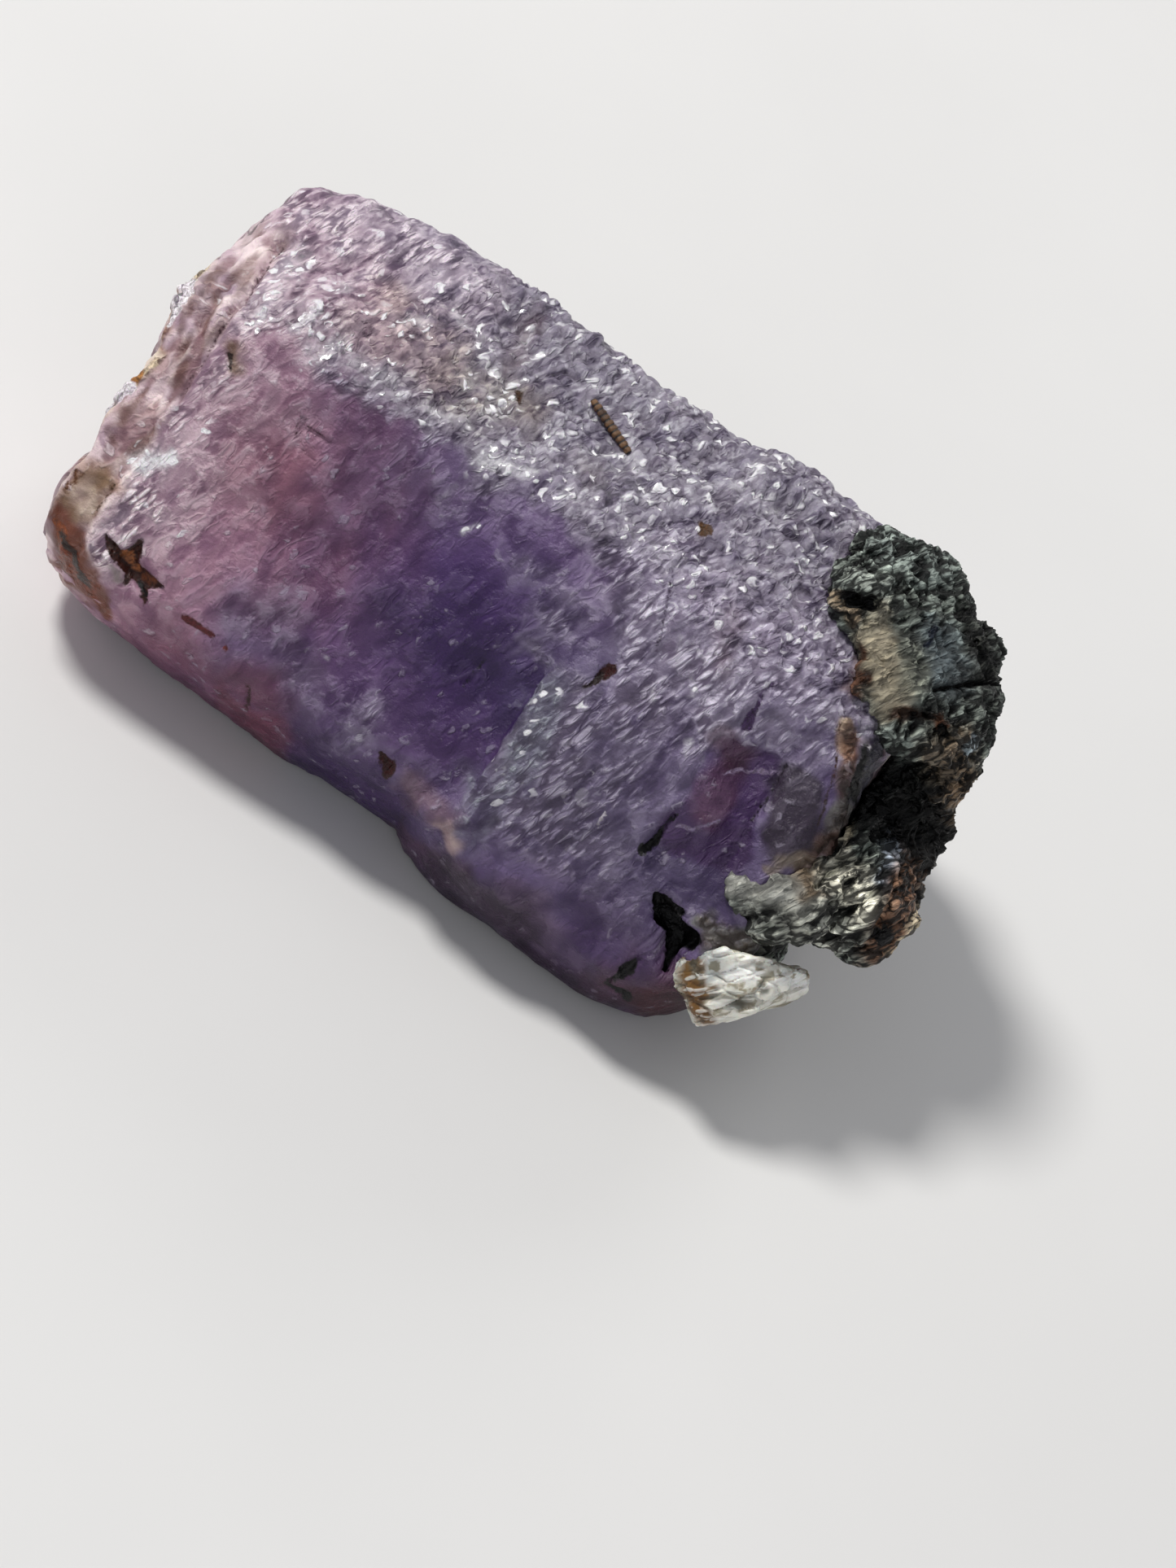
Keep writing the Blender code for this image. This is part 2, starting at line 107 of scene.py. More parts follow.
def round_prism(points):
    """How far round the prism each point lies, in millimetres up from the front edge."""
    flat = points[:, 1:] + np.array(PART_SHIFT[1:]) - AXIS
    spokes = CORNERS - AXIS
    start = math.atan2(spokes[0, 1], spokes[0, 0])
    around = (start - np.arctan2(flat[:, 1], flat[:, 0])) % math.tau
    corner_turns = (start - np.arctan2(spokes[:, 1], spokes[:, 0])) % math.tau
    corner_turns[-1] = math.tau
    side = np.clip(np.searchsorted(corner_turns, around, side="right") - 1, 0, len(CORNERS) - 2)
    low, high = spokes[side], spokes[side + 1]
    run = high - low
    cross = flat[:, 0] * run[:, 1] - flat[:, 1] * run[:, 0]
    share = (flat[:, 1] * low[:, 0] - flat[:, 0] * low[:, 1]) / np.where(abs(cross) < 1e-6, 1e-6, cross)
    lengths = np.linalg.norm(np.diff(CORNERS, axis=0), axis=1)
    before = np.concatenate(([0], np.cumsum(lengths)))
    return before[side] + np.clip(share, 0, 1) * lengths[side] - FRONT_EDGE_ARC


# Patterns on points


def ease(value, low, high):
    """0 at low, 1 at high, smooth between; low may be the larger."""
    t = np.clip((value - low) / (high - low), 0, 1)
    return t * t * (3 - 2 * t)


def scatter(spots, turn):
    """An even chance number from 0 to 1 for each lattice spot."""
    mixed = np.sin(spots @ np.array((12.9898, 78.233, 37.719)) + 4.1414 * turn) * 43758.5453
    return mixed - np.floor(mixed)


def ripple(points, size, seed=0.0):
    """Smooth noise from -1 to 1 over that size in millimetres."""
    places = points / size + seed * np.array((7.3, 3.1, 5.7))
    low = np.floor(places)
    within = places - low
    fade = within ** 3 * (within * (within * 6 - 15) + 10)
    total = np.zeros(len(points))
    for corner in itertools.product((0, 1), repeat=3):
        slope = np.stack([scatter(low + corner, turn) for turn in (1, 2, 3)], axis=1) * 2 - 1
        weight = np.prod(np.where(corner, fade, 1 - fade), axis=1)
        total += weight * np.sum(slope * (within - corner), axis=1)
    return np.clip(1.5 * total, -1, 1)


def cells(points):
    """Distances to the nearest and second-nearest cell centre, and a chance number for each cell."""
    low = np.floor(points)
    near, second, chance = (np.full(len(points), far) for far in (9.0, 9.0, 0.0))
    for corner in itertools.product((-1, 0, 1), repeat=3):
        spots = low + corner
        centres = spots + np.stack([scatter(spots, turn) for turn in (4, 5, 6)], axis=1)
        distance = np.linalg.norm(points - centres, axis=1)
        closer = distance < near
        second = np.where(closer, near, np.minimum(second, distance))
        near = np.where(closer, distance, near)
        chance = np.where(closer, scatter(spots, 7), chance)
    return near, second, chance


def wrinkles(points, size, seed=0.0):
    """Winding ridges from 0 in the troughs to 1 on the crests, about that size apart."""
    return np.clip(1 - 2.6 * abs(ripple(points, size, seed)), 0, 1)


def leaning(across, up, angle):
    """The same flat places, told along and across strokes that lean by that angle."""
    return (across * math.cos(angle) + up * math.sin(angle),
            up * math.cos(angle) - across * math.sin(angle))


# Strokes drawn on the surface that the view sees


def off_stroke(view, start, end, radius):
    """How far outside a straight stroke the view sees each place, and the stroke's radius there.

    The radius may be a pair, for a stroke that tapers from its start to its end.
    """
    start, end = np.array(start, float), np.array(end, float)
    along = end - start
    t = np.clip((view[:, :2] - start) @ along / max(along @ along, 1e-9), 0, 1)
    first, last = radius if isinstance(radius, tuple) else (radius, radius)
    wide = first + (last - first) * t
    return np.linalg.norm(view[:, :2] - (start + t[:, None] * along), axis=1) - wide, wide


def patch(view, start, end, radius, softness):
    """1 inside a stroke and 0 outside it, with an edge as soft as that share of its radius."""
    off, wide = off_stroke(view, start, end, radius)
    return ease(off / wide, softness, -softness)


def dent(view, strokes):
    """How deep a set of (start, end, radius, depth) strokes presses in at each place."""
    total = np.zeros(len(view))
    for start, end, radius, depth in strokes:
        off, wide = off_stroke(view, start, end, radius)
        near = np.clip(-off / wide, 0, 1)
        total = np.maximum(total, depth * near * (2 - near))
    return total


def foremost(view, depth):
    """Whether each place lies within that depth of the nearest one that the view sees around it."""
    squares = np.floor((view[:, :2] - view[:, :2].min(axis=0)) / SQUARE).astype(int)
    front = np.full(squares.max(axis=0) + 1, -np.inf)
    spots = tuple(squares.T)
    np.maximum.at(front, spots, view[:, 2])
    return view[:, 2] > front[spots] - depth


def wash(colours, view, strokes):
    """Lays soft (start, end, radius, softness, colour, strength) strokes over the colours."""
    cover = np.zeros(len(view))
    for start, end, radius, softness, colour, strength in strokes:
        mask = strength * patch(view, start, end, radius, softness)
        colours += mask[:, None] * (np.array(colour) - colours)
        cover = np.maximum(cover, mask)
    return cover


def coloured(strokes, looks):
    """The strokes, with each colour that is given by name taken from the looks."""
    return [(*stroke, tuple(getattr(looks, colour)) if isinstance(colour, str) else colour, strength)
            for *stroke, colour, strength in strokes]


def drifted(points, view, size, reach):
    """The view places moved about a little, so that what is drawn by them gets uneven outlines."""
    drift = np.stack([ripple(points, size, seed) for seed in (20, 21, 22)], axis=1)
    return view + reach * drift


def crisp_marks(piece, points, view, seen, marks):
    """Stores how far off the nearest (start, end, radius, colour) mark's edge is, and its colour."""
    distance, tint = np.full(len(view), NOWHERE), np.zeros((len(view), 3))
    wide = drifted(points, drifted(points, view, 0.45, 0.1), 0.17, 0.06)
    fine = drifted(points, view, 0.3, 0.05)
    for start, end, radius, colour in marks:
        thick = isinstance(radius, tuple) or radius > 0.075
        off, _ = off_stroke(wide if thick else fine, start, end, radius)
        closer = (off < distance) & seen
        distance[closer] = off[closer]
        tint[closer | ((off < 0) & seen)] = colour
    keep(piece, "mark", distance)
    keep_colour(piece, "mark_tint", tint)


# Meshes


def points_of(piece):
    flat = np.empty(len(piece.data.vertices) * 3)
    piece.data.vertices.foreach_get("co", flat)
    return flat.reshape(-1, 3)


def normals_of(piece):
    flat = np.empty(len(piece.data.vertices) * 3)
    piece.data.vertices.foreach_get("normal", flat)
    return flat.reshape(-1, 3)


def set_points(piece, points):
    piece.data.vertices.foreach_set("co", points.ravel())
    piece.data.update()


def keep(piece, name, values):
    """Stores a number or a vector for each vertex, for the material to read."""
    vector = values.ndim == 2
    layer = piece.data.attributes.new(name, "FLOAT_VECTOR" if vector else "FLOAT", "POINT")
    layer.data.foreach_set("vector" if vector else "value", values.astype(np.float32).ravel())


def keep_colour(piece, name, colours):
    layer = piece.data.attributes.new(name, "FLOAT_COLOR", "POINT")
    opaque = np.concatenate((colours, np.ones((len(colours), 1))), axis=1)
    layer.data.foreach_set("color", opaque.astype(np.float32).ravel())


def activate(piece):
    bpy.ops.object.select_all(action="DESELECT")
    piece.select_set(True)
    bpy.context.view_layer.objects.active = piece


def apply_modifier(piece, kind, **settings):
    activate(piece)
    modifier = piece.modifiers.new(kind.title(), kind)
    for key, value in settings.items():
        setattr(modifier, key, value)
    bpy.ops.object.modifier_apply(modifier=modifier.name)


def fine_copy(name, node, fineness, smoothing, far_share=1.0):
    """A copy of a solid in millimetres, remade as an even fine mesh with its facets eased away.

    The sides turned away from the viewer keep only a share of their faces.
    """
    piece = bpy.data.objects.new(name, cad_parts[node].data.copy())
    piece.data.name = name
    bpy.context.scene.collection.objects.link(piece)
    activate(piece)
    bpy.ops.object.mode_set(mode="EDIT")
    bpy.ops.mesh.select_all(action="SELECT")
    bpy.ops.mesh.remove_doubles(threshold=JOIN)
    bpy.ops.object.mode_set(mode="OBJECT")
    piece.data.transform(Matrix.Scale(1 / MM, 4))
    apply_modifier(piece, "REMESH", mode="VOXEL", voxel_size=fineness)
    apply_modifier(piece, "SMOOTH", factor=0.5, iterations=smoothing)
    if far_share < 1:
        bpy.ops.object.mode_set(mode="EDIT")
        bpy.ops.mesh.select_all(action="DESELECT")
        bpy.ops.object.mode_set(mode="OBJECT")
        away = normals_of(piece) @ TO_VIEWER < FAR_SIDE
        piece.data.vertices.foreach_set("select", away)
        bpy.ops.object.mode_set(mode="EDIT")
        bpy.ops.mesh.decimate(ratio=far_share)
        bpy.ops.object.mode_set(mode="OBJECT")
    return piece


def hand_over(piece, material, slot, *nodes):
    """Brings a finished piece back to metres, dresses it, and puts it in its solid's place."""
    piece.data.transform(Matrix.Scale(MM, 4))
    activate(piece)
    bpy.ops.object.shade_smooth()
    piece.data.materials.clear()
    piece.data.materials.append(material)
    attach(piece, "root")
    if nodes:
        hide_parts(*nodes)
    piece.select_set(False)


# Shader helpers


def node(tree, kind, inputs=None, **settings):
    """A shader node with its settings made and its sockets filled or linked."""
    made = tree.nodes.new(kind)
    for key, value in settings.items():
        setattr(made, key, value)
    for key, value in (inputs or {}).items():
        if isinstance(value, bpy.types.NodeSocket):
            tree.links.new(value, made.inputs[key])
        else:
            made.inputs[key].default_value = value
    return made


def sums(tree, operation, a, b=0.0, c=0.0, clamp=False):
    return node(tree, "ShaderNodeMath", {0: a, 1: b, 2: c}, operation=operation, use_clamp=clamp).outputs[0]


def times(tree, a, b):
    return sums(tree, "MULTIPLY", a, b)


def scaled(tree, value, factor, plus):
    """A value times a factor, with another value added."""
    return sums(tree, "MULTIPLY_ADD", value, factor, plus)


def vector_sums(tree, operation, a, b=(0, 0, 0)):
    return node(tree, "ShaderNodeVectorMath", {0: a, 1: b}, operation=operation).outputs[0]


def mix(tree, mask, a, b, blend="MIX"):
    """Colour a turning into colour b where the mask is 1."""
    a, b = (c if isinstance(c, bpy.types.NodeSocket) or len(c) == 4 else (*c, 1.0) for c in (a, b))
    return node(tree, "ShaderNodeMix", {0: mask, 6: a, 7: b}, data_type="RGBA", blend_type=blend).outputs[2]


def tone(tree, mask, colour, factor):
    """A colour multiplied, channel by channel, by a factor where the mask is 1."""
    return mix(tree, mask, colour, factor, "MULTIPLY")


def mix_values(tree, mask, a, b):
    return node(tree, "ShaderNodeMix", {0: mask, 2: a, 3: b}, data_type="FLOAT").outputs[0]


def between(tree, value, low, high, to_low=0.0, to_high=1.0):
    """A value's smooth climb from low to high."""
    return node(tree, "ShaderNodeMapRange", {"Value": value, "From Min": low, "From Max": high,
                                             "To Min": to_low, "To Max": to_high},
                interpolation_type="SMOOTHSTEP").outputs[0]


def group(name, inputs, outputs):
    """A new shader node group with those sockets, and its two end nodes."""
    tree = bpy.data.node_groups.new(name, "ShaderNodeTree")
    for socket, kind, default in inputs:
        made = tree.interface.new_socket(socket, in_out="INPUT", socket_type="NodeSocket" + kind)
        if default is not None:
            made.default_value = default
    for socket in outputs:
        tree.interface.new_socket(socket, in_out="OUTPUT", socket_type="NodeSocketFloat")
    return tree, tree.nodes.new("NodeGroupInput").outputs, tree.nodes.new("NodeGroupOutput").inputs


def stretched_place(tree, given):
    """A group's Place turned back by its Lean and divided by its Length and Width."""
    back = times(tree, given["Lean"], -1)
    turned = node(tree, "ShaderNodeVectorRotate", {"Vector": given["Place"], "Angle": back},
                  rotation_type="Z_AXIS").outputs[0]
    size = node(tree, "ShaderNodeCombineXYZ", {0: given["Length"], 1: given["Width"], 2: given["Width"]})
    return vector_sums(tree, "DIVIDE", turned, size.outputs[0])


def scales_group():
    """Group: overlapping scales that lean in a flat pattern place, each with a chance number."""
    tree, given, result = group(
        "Leaning scales",
        [("Place", "Vector", None), ("Lean", "Float", SCALE_LEAN), ("Length", "Float", 0.5),
         ("Width", "Float", 0.15), ("Bend", "Float", 0.6)],
        ["Height", "Chance"])
    stretched = stretched_place(tree, given)
    wander = node(tree, "ShaderNodeTexNoise", {"Vector": stretched, "Scale": 0.6, "Detail": 1.0}).outputs[1]
    centred = vector_sums(tree, "SUBTRACT", wander, (0.5, 0.5, 0.5))
    bent = node(tree, "ShaderNodeVectorMath", {0: centred, 1: (2.4, 2.4, 2.4), 2: stretched},
                operation="MULTIPLY_ADD").outputs[0]
    bent = node(tree, "ShaderNodeMix", {0: given["Bend"], 4: stretched, 5: bent},
                data_type="VECTOR").outputs[1]
    cell = node(tree, "ShaderNodeTexVoronoi", {"Vector": bent, "Scale": 1.0}).outputs
    chance = node(tree, "ShaderNodeSeparateColor", {0: cell["Color"]}).outputs[0]
    waves = node(tree, "ShaderNodeTexNoise", {"Vector": bent, "Scale": 1.1, "Detail": 1.5}).outputs[0]
    ridge = sums(tree, "ABSOLUTE", scaled(tree, waves, 2.0, -1.0))
    ridge = between(tree, ridge, 0.32, 0.0)
    dome = between(tree, cell["Distance"], 0.8, 0.1)
    dome = times(tree, dome, scaled(tree, chance, 0.45, 0.55))
    broken = times(tree, dome, scaled(tree, ridge, 0.5, 0.5))
    height = scaled(tree, waves, 0.35, broken)
    tree.links.new(between(tree, height, 0.12, 1.1), result["Height"])
    tree.links.new(chance, result["Chance"])
    return tree


def wrinkles_group():
    """Group: winding wrinkles that lean in a flat pattern place."""
    tree, given, result = group(
        "Winding wrinkles",
        [("Place", "Vector", None), ("Lean", "Float", SCALE_LEAN), ("Length", "Float", 0.5),
         ("Width", "Float", 0.15)],
        ["Height", "Swell"])
    stretched = stretched_place(tree, given)
    crests = None
    for scale, detail, strength in ((0.5, 1.5, 1.0), (1.15, 1.0, 0.65)):
        wave = node(tree, "ShaderNodeTexNoise", {"Vector": stretched, "Scale": scale, "Detail": detail,
                                                 "Distortion": 0.5}).outputs[0]
        swell = wave if crests is None else swell
        crest = between(tree, sums(tree, "ABSOLUTE", scaled(tree, wave, 2.0, -1.0)), 0.28, 0.0)
        crest = times(tree, crest, strength)
        crests = crest if crests is None else sums(tree, "MAXIMUM", crests, crest)
    tree.links.new(crests, result["Height"])
    tree.links.new(between(tree, swell, 0.3, 0.7), result["Swell"])
    return tree


def grit_group():
    """Group: fine grit as a height, and broader mottling."""
    tree, given, result = group("Grit", [("Place", "Vector", None), ("Fineness", "Float", 8.0)],
                                ["Height", "Mottle"])
    fine = node(tree, "ShaderNodeTexNoise", {"Vector": given["Place"], "Scale": given["Fineness"],
                                             "Detail": 5.0, "Roughness": 0.65}).outputs[0]
    broad_scale = times(tree, given["Fineness"], 0.25)
    broad = node(tree, "ShaderNodeTexNoise", {"Vector": given["Place"], "Scale": broad_scale,
                                              "Detail": 4.0}).outputs[0]
    tree.links.new(fine, result["Height"])
    tree.links.new(between(tree, broad, 0.32, 0.68), result["Mottle"])
    return tree


def mark_group():
    """Group: the inside of marks, from how far off their edges are, with ragged edges."""
    tree, given, result = group(
        "Ragged marks",
        [("Place", "Vector", None), ("Distance", "Float", NOWHERE), ("Ragged", "Float", 0.1),
         ("Blur", "Float", 0.03)], ["Mask"])
    wander = node(tree, "ShaderNodeTexNoise",
                  {"Vector": given["Place"], "Scale": 11.0, "Detail": 2.0}).outputs[0]
    shifted = scaled(tree, sums(tree, "SUBTRACT", wander, 0.5), given["Ragged"], given["Distance"])
    tree.links.new(between(tree, shifted, given["Blur"], times(tree, given["Blur"], -1)), result["Mask"])
    return tree


def use(tree, build, **inputs):
    """Places a shared group, built once, with its values."""
    placed = tree.nodes.new("ShaderNodeGroup")
    name = build.__name__
    if name not in GROUPS:
        GROUPS[name] = build()
    placed.node_tree = GROUPS[name]
    for key, value in inputs.items():
        if isinstance(value, bpy.types.NodeSocket):
            tree.links.new(value, placed.inputs[key])
        else:
            placed.inputs[key].default_value = value
    return placed.outputs


GROUPS = {}


class Surface:
    """A mineral's material in the making: its node tree and the places its patterns read."""

    def __init__(self, name):
        self.material = bpy.data.materials.new(name)
        self.material.use_nodes = True
        self.tree = self.material.node_tree
        coordinates = self.tree.nodes.new("ShaderNodeTexCoord").outputs["Object"]
        self.place = node(self.tree, "ShaderNodeMapping", {
            "Vector": coordinates, "Location": VIEW_SHIFT, "Rotation": (-VIEW_LEAN, 0, 0),
            "Scale": (1 / MM,) * 3}).outputs[0]

    def read(self, name, output="Fac"):
        """A number, vector or colour that the mesh holds for each vertex."""
        return node(self.tree, "ShaderNodeAttribute", attribute_name=name,
                    attribute_type="GEOMETRY").outputs[output]

    def marked(self, colour, ragged=0.1, blur=0.03):
        """The colour with the mesh's crisp marks laid over it."""
        mask = use(self.tree, mark_group, Place=self.place, Distance=self.read("mark"), Ragged=ragged,
                   Blur=blur)["Mask"]
        mottle = use(self.tree, grit_group, Place=self.place, Fineness=11.0)["Height"]
        tint = self.read("mark_tint", "Color")
        darker = tone(self.tree, 1.0, tint, (0.5, 0.45, 0.45))
        paler = tone(self.tree, 1.0, tint, (1.25, 1.2, 1.2))
        tint = mix(self.tree, between(self.tree, mottle, 0.35, 0.65), darker, paler)
        return mix(self.tree, mask, colour, tint)

    def shine(self, mask):
        """Gives the surface a thin wet-looking gloss where the mask is 1."""
        shader = self.tree.nodes["Principled BSDF"]
        self.tree.links.new(mask, shader.inputs["Coat Weight"])
        shader.inputs["Coat Roughness"].default_value = 0.12
        shader.inputs["Coat IOR"].default_value = 1.77

    def finish(self, colour, roughness, height, bump_distance, **settings):
        """Links the finished colour, roughness and bump to the shader and sets its other values."""
        shader = self.tree.nodes["Principled BSDF"]
        bump = node(self.tree, "ShaderNodeBump", {"Height": height, "Distance": bump_distance * MM,
                                                  "Strength": 1.0}).outputs[0]
        self.tree.links.new(colour, shader.inputs["Base Color"])
        self.tree.links.new(roughness, shader.inputs["Roughness"])
        self.tree.links.new(bump, shader.inputs["Normal"])
        for key, value in settings.items():
            shader.inputs[key.replace("_", " ")].default_value = value
        return self.material


# Sizes and colours that a user would change


class SapphireLooks(bpy.types.PropertyGroup):
    fineness: FloatProperty(
        name="Fineness", description="Size of the surface's mesh squares, in millimetres",
        default=0.083, min=0.05, max=0.5)
    scale_length: FloatProperty(
        name="Scale length", description="Length of the leaning wrinkles, in millimetres",
        default=0.62, min=0.1, max=2.0)
    scale_width: FloatProperty(
        name="Scale width", description="Width of the leaning wrinkles, in millimetres",
        default=0.27, min=0.05, max=1.0)
    grain: FloatProperty(
        name="Frost grain", description="Size of the pebbly grains on the top face, in millimetres",
        default=0.42, min=0.1, max=1.0)
    core: FloatVectorProperty(
        name="Core", description="Deep violet of the crystal's middle", subtype="COLOR",
        size=3, min=0, max=1, default=srgb(44, 10, 74))
    violet: FloatVectorProperty(
        name="Violet", description="Violet of the front face", subtype="COLOR",
        size=3, min=0, max=1, default=srgb(80, 48, 110))
    mauve: FloatVectorProperty(
        name="Mauve", description="Pinkish mauve towards the clean end", subtype="COLOR",
        size=3, min=0, max=1, default=srgb(166, 118, 136))
    frost: FloatVectorProperty(
        name="Frost", description="Pale lilac grey of the frosted faces", subtype="COLOR",
        size=3, min=0, max=1, default=srgb(174, 166, 184))
    roughness: FloatProperty(
        name="Roughness", description="Roughness of the smoother faces", subtype="FACTOR",
        default=0.3, min=0, max=1)


class RockLooks(bpy.types.PropertyGroup):
    fineness: FloatProperty(
        name="Fineness", description="Size of the surface's mesh squares, in millimetres",
        default=0.06, min=0.04, max=0.5)
    grain: FloatProperty(
        name="Grain", description="Width of the mineral grains, in millimetres",
        default=0.26, min=0.1, max=2.0)
    green_grey: FloatVectorProperty(
        name="Green grey", description="Colour of most grains", subtype="COLOR",
        size=3, min=0, max=1, default=srgb(112, 119, 114))
    # Near-black painted shade for the seams in the troughs between the strands.
    seam: FloatVectorProperty(
        name="Seam", description="Colour of the seams between grains", subtype="COLOR",
        size=3, min=0, max=1, default=srgb(6, 7, 7))


class ChipLooks(bpy.types.PropertyGroup):
    fineness: FloatProperty(
        name="Fineness", description="Size of the surface's mesh squares, in millimetres",
        default=0.04, min=0.03, max=0.5)
    cream: FloatVectorProperty(
        name="Cream", description="Colour of the clean feldspar", subtype="COLOR",
        size=3, min=0, max=1, default=srgb(228, 226, 214))
    stain: FloatVectorProperty(
        name="Stain", description="Yellow-brown of its stained rims", subtype="COLOR",
        size=3, min=0, max=1, default=srgb(112, 78, 34))


class StageLooks(bpy.types.PropertyGroup):
    floor: FloatVectorProperty(
        name="Floor", description="Colour of the floor", subtype="COLOR",
        size=3, min=0, max=1, default=(0.78, 0.775, 0.765))
    key_power: FloatProperty(
        name="Key light", description="Power of the large key light", unit="POWER",
        default=0.78, min=0, max=10)
    fill_power: FloatProperty(
        name="Fill light", description="Power of the fill light", unit="POWER",
        default=0.16, min=0, max=10)
    roll: FloatProperty(
        name="Camera roll", description="Turn of the camera about its own line of sight",
        subtype="ANGLE", default=math.radians(33), min=-math.pi, max=math.pi)
    distance: FloatProperty(
        name="Camera distance", description="Distance from the camera to the front face",
        unit="LENGTH", default=0.119, min=0.01, max=1)


# The sapphire

GROWTH_STEP = 0.13        # height of one growth step on the clean end
LEDGE_RISE = 0.12         # how far the front face stands out past the ledge
BACK_FROST = 0.75         # how frosted the hidden back faces are
END_FROST = 0.4           # how frosted the end faces are
END_EASING = 90           # passes that round the clean end before its relief is worked in

PALE_VIOLET = srgb(98, 82, 120)
BLACK = srgb(5, 4, 5)
DARK_RED = srgb(52, 10, 10)
DARK_RUST = srgb(54, 20, 12)
DARK_BROWN = srgb(40, 17, 6)
BROWN = srgb(104, 62, 30)
ORANGE_BROWN = srgb(112, 50, 12)
OLIVE = srgb(110, 82, 42)
CREAM = srgb(222, 206, 176)
WHITE = srgb(244, 242, 248)

NEEDLE_ENDS = ((-1.15, 4.78), (0.22, 4.2))    # where the view sees the brown needle's ends (u, v)

# Pits and cracks: from and to (u, v), radius or radii, and depth, in millimetres
STAR = [
    ((-8.2, -4.12), (-8.8, -3.83), (0.17, 0.04), 0.08), ((-7.95, -4.1), (-7.96, -3.46), (0.22, 0.03), 0.1),
    ((-8.1, -4.1), (-7.5, -4.25), (0.2, 0.27), 0.14), ((-7.5, -4.2), (-6.98, -4.17), (0.22, 0.04), 0.1),
    ((-7.5, -4.3), (-7.2, -4.64), (0.2, 0.05), 0.1), ((-7.8, -4.2), (-7.85, -4.6), (0.15, 0.05), 0.08)]
CLEFT = [
    ((6.25, -3.95), (6.65, -4.2), (0.15, 0.26), 0.35), ((6.6, -4.2), (7.4, -4.35), (0.25, 0.28), 0.5),
    ((7.1, -4.4), (7.34, -5.25), (0.27, 0.04), 0.4), ((6.4, -3.88), (6.95, -3.93), (0.14, 0.06), 0.25)]
CRACK = [
    ((5.42, -3.15), (5.56, -2.1), (0.13, 0.03), 0.2), ((6.68, -5.35), (6.55, -5.8), (0.04, 0.17), 0.14),
    ((6.6, -5.75), (6.38, -6.15), (0.13, 0.04), 0.12), ((6.4, -6.2), (6.95, -6.2), (0.05, 0.08), 0.1)]
HOLLOWS = [
    ((-0.78, -4.62), (-0.5, -4.78), (0.07, 0.15), 0.1), ((2.5, -0.28), (2.36, -0.8), (0.15, 0.05), 0.1),
    ((-6.3, 0.75), (-6.15, 0.3), 0.08, 0.1), ((-6.2, 0.62), (-5.5, 0.66), 0.07, 0.08),
    ((-6.15, 0.2), (-5.6, 0.12), 0.08, 0.07), ((-9.0, 4.0), (-8.93, -0.4), 0.11, 0.13),
    ((-9.45, 2.4), (-9.4, -0.8), 0.09, 0.09), ((-9.7, 3.2), (-9.6, 1.6), 0.08, 0.07),
    ((2.55, 2.6), (3.3, 0.6), 0.16, 0.1), ((2.1, 0.9), (2.65, 0.0), 0.1, 0.08),
    (*NEEDLE_ENDS, 0.2, 0.05), ((5.8, 0.4), (5.75, 1.5), (0.2, 0.03), 0.08),
    ((0.05, -1.6), (-0.05, -2.3), 0.07, 0.06), ((7.0, 0.1), (7.1, -1.3), 0.1, 0.1),
    ((-4.15, -4.95), (-4.0, -5.2), 0.07, 0.08), ((-4.0, 5.7), (-3.0, 4.2), 0.25, 0.08)]
# Raised flakes on the rims: from and to, radius or radii, height
FLAKES = [
    ((-10.25, 2.9), (-10.16, 1.8), (0.05, 0.12), 0.1), ((-10.16, 1.8), (-9.95, 0.6), (0.12, 0.06), 0.1),
    ((-9.75, 0.3), (-10.0, -0.8), (0.05, 0.13), 0.1), ((-10.0, -0.8), (-10.15, -2.0), (0.13, 0.05), 0.1),
    ((7.7, 1.7), (8.25, 1.0), 0.2, 0.07), ((8.2, 1.0), (8.75, -0.2), 0.2, 0.07),
    ((8.75, -0.2), (8.6, -1.6), 0.24, 0.07), ((8.35, 1.5), (8.85, 0.3), 0.2, 0.05),
    ((7.4, -3.75), (8.5, -3.7), (0.2, 0.35), 0.08), ((7.75, -4.1), (8.4, -4.1), 0.25, 0.06)]
# How the clean end bulges down its height: from, fullest at, to (v), and how far
RIM_SWELLS = [(3.5, 2.3, 0.4, 0.16), (0.4, -1.8, -3.0, 0.3), (-1.9, -3.4, -4.8, 0.32)]
# Bare scars where the frosted skin has come off: from and to, radius
SCARS = [((6.75, -0.4), (6.7, -1.2), 0.5), ((6.2, -2.4), (7.1, -2.0), 0.55),
         ((5.8, -0.2), (6.0, -1.4), 0.42)]

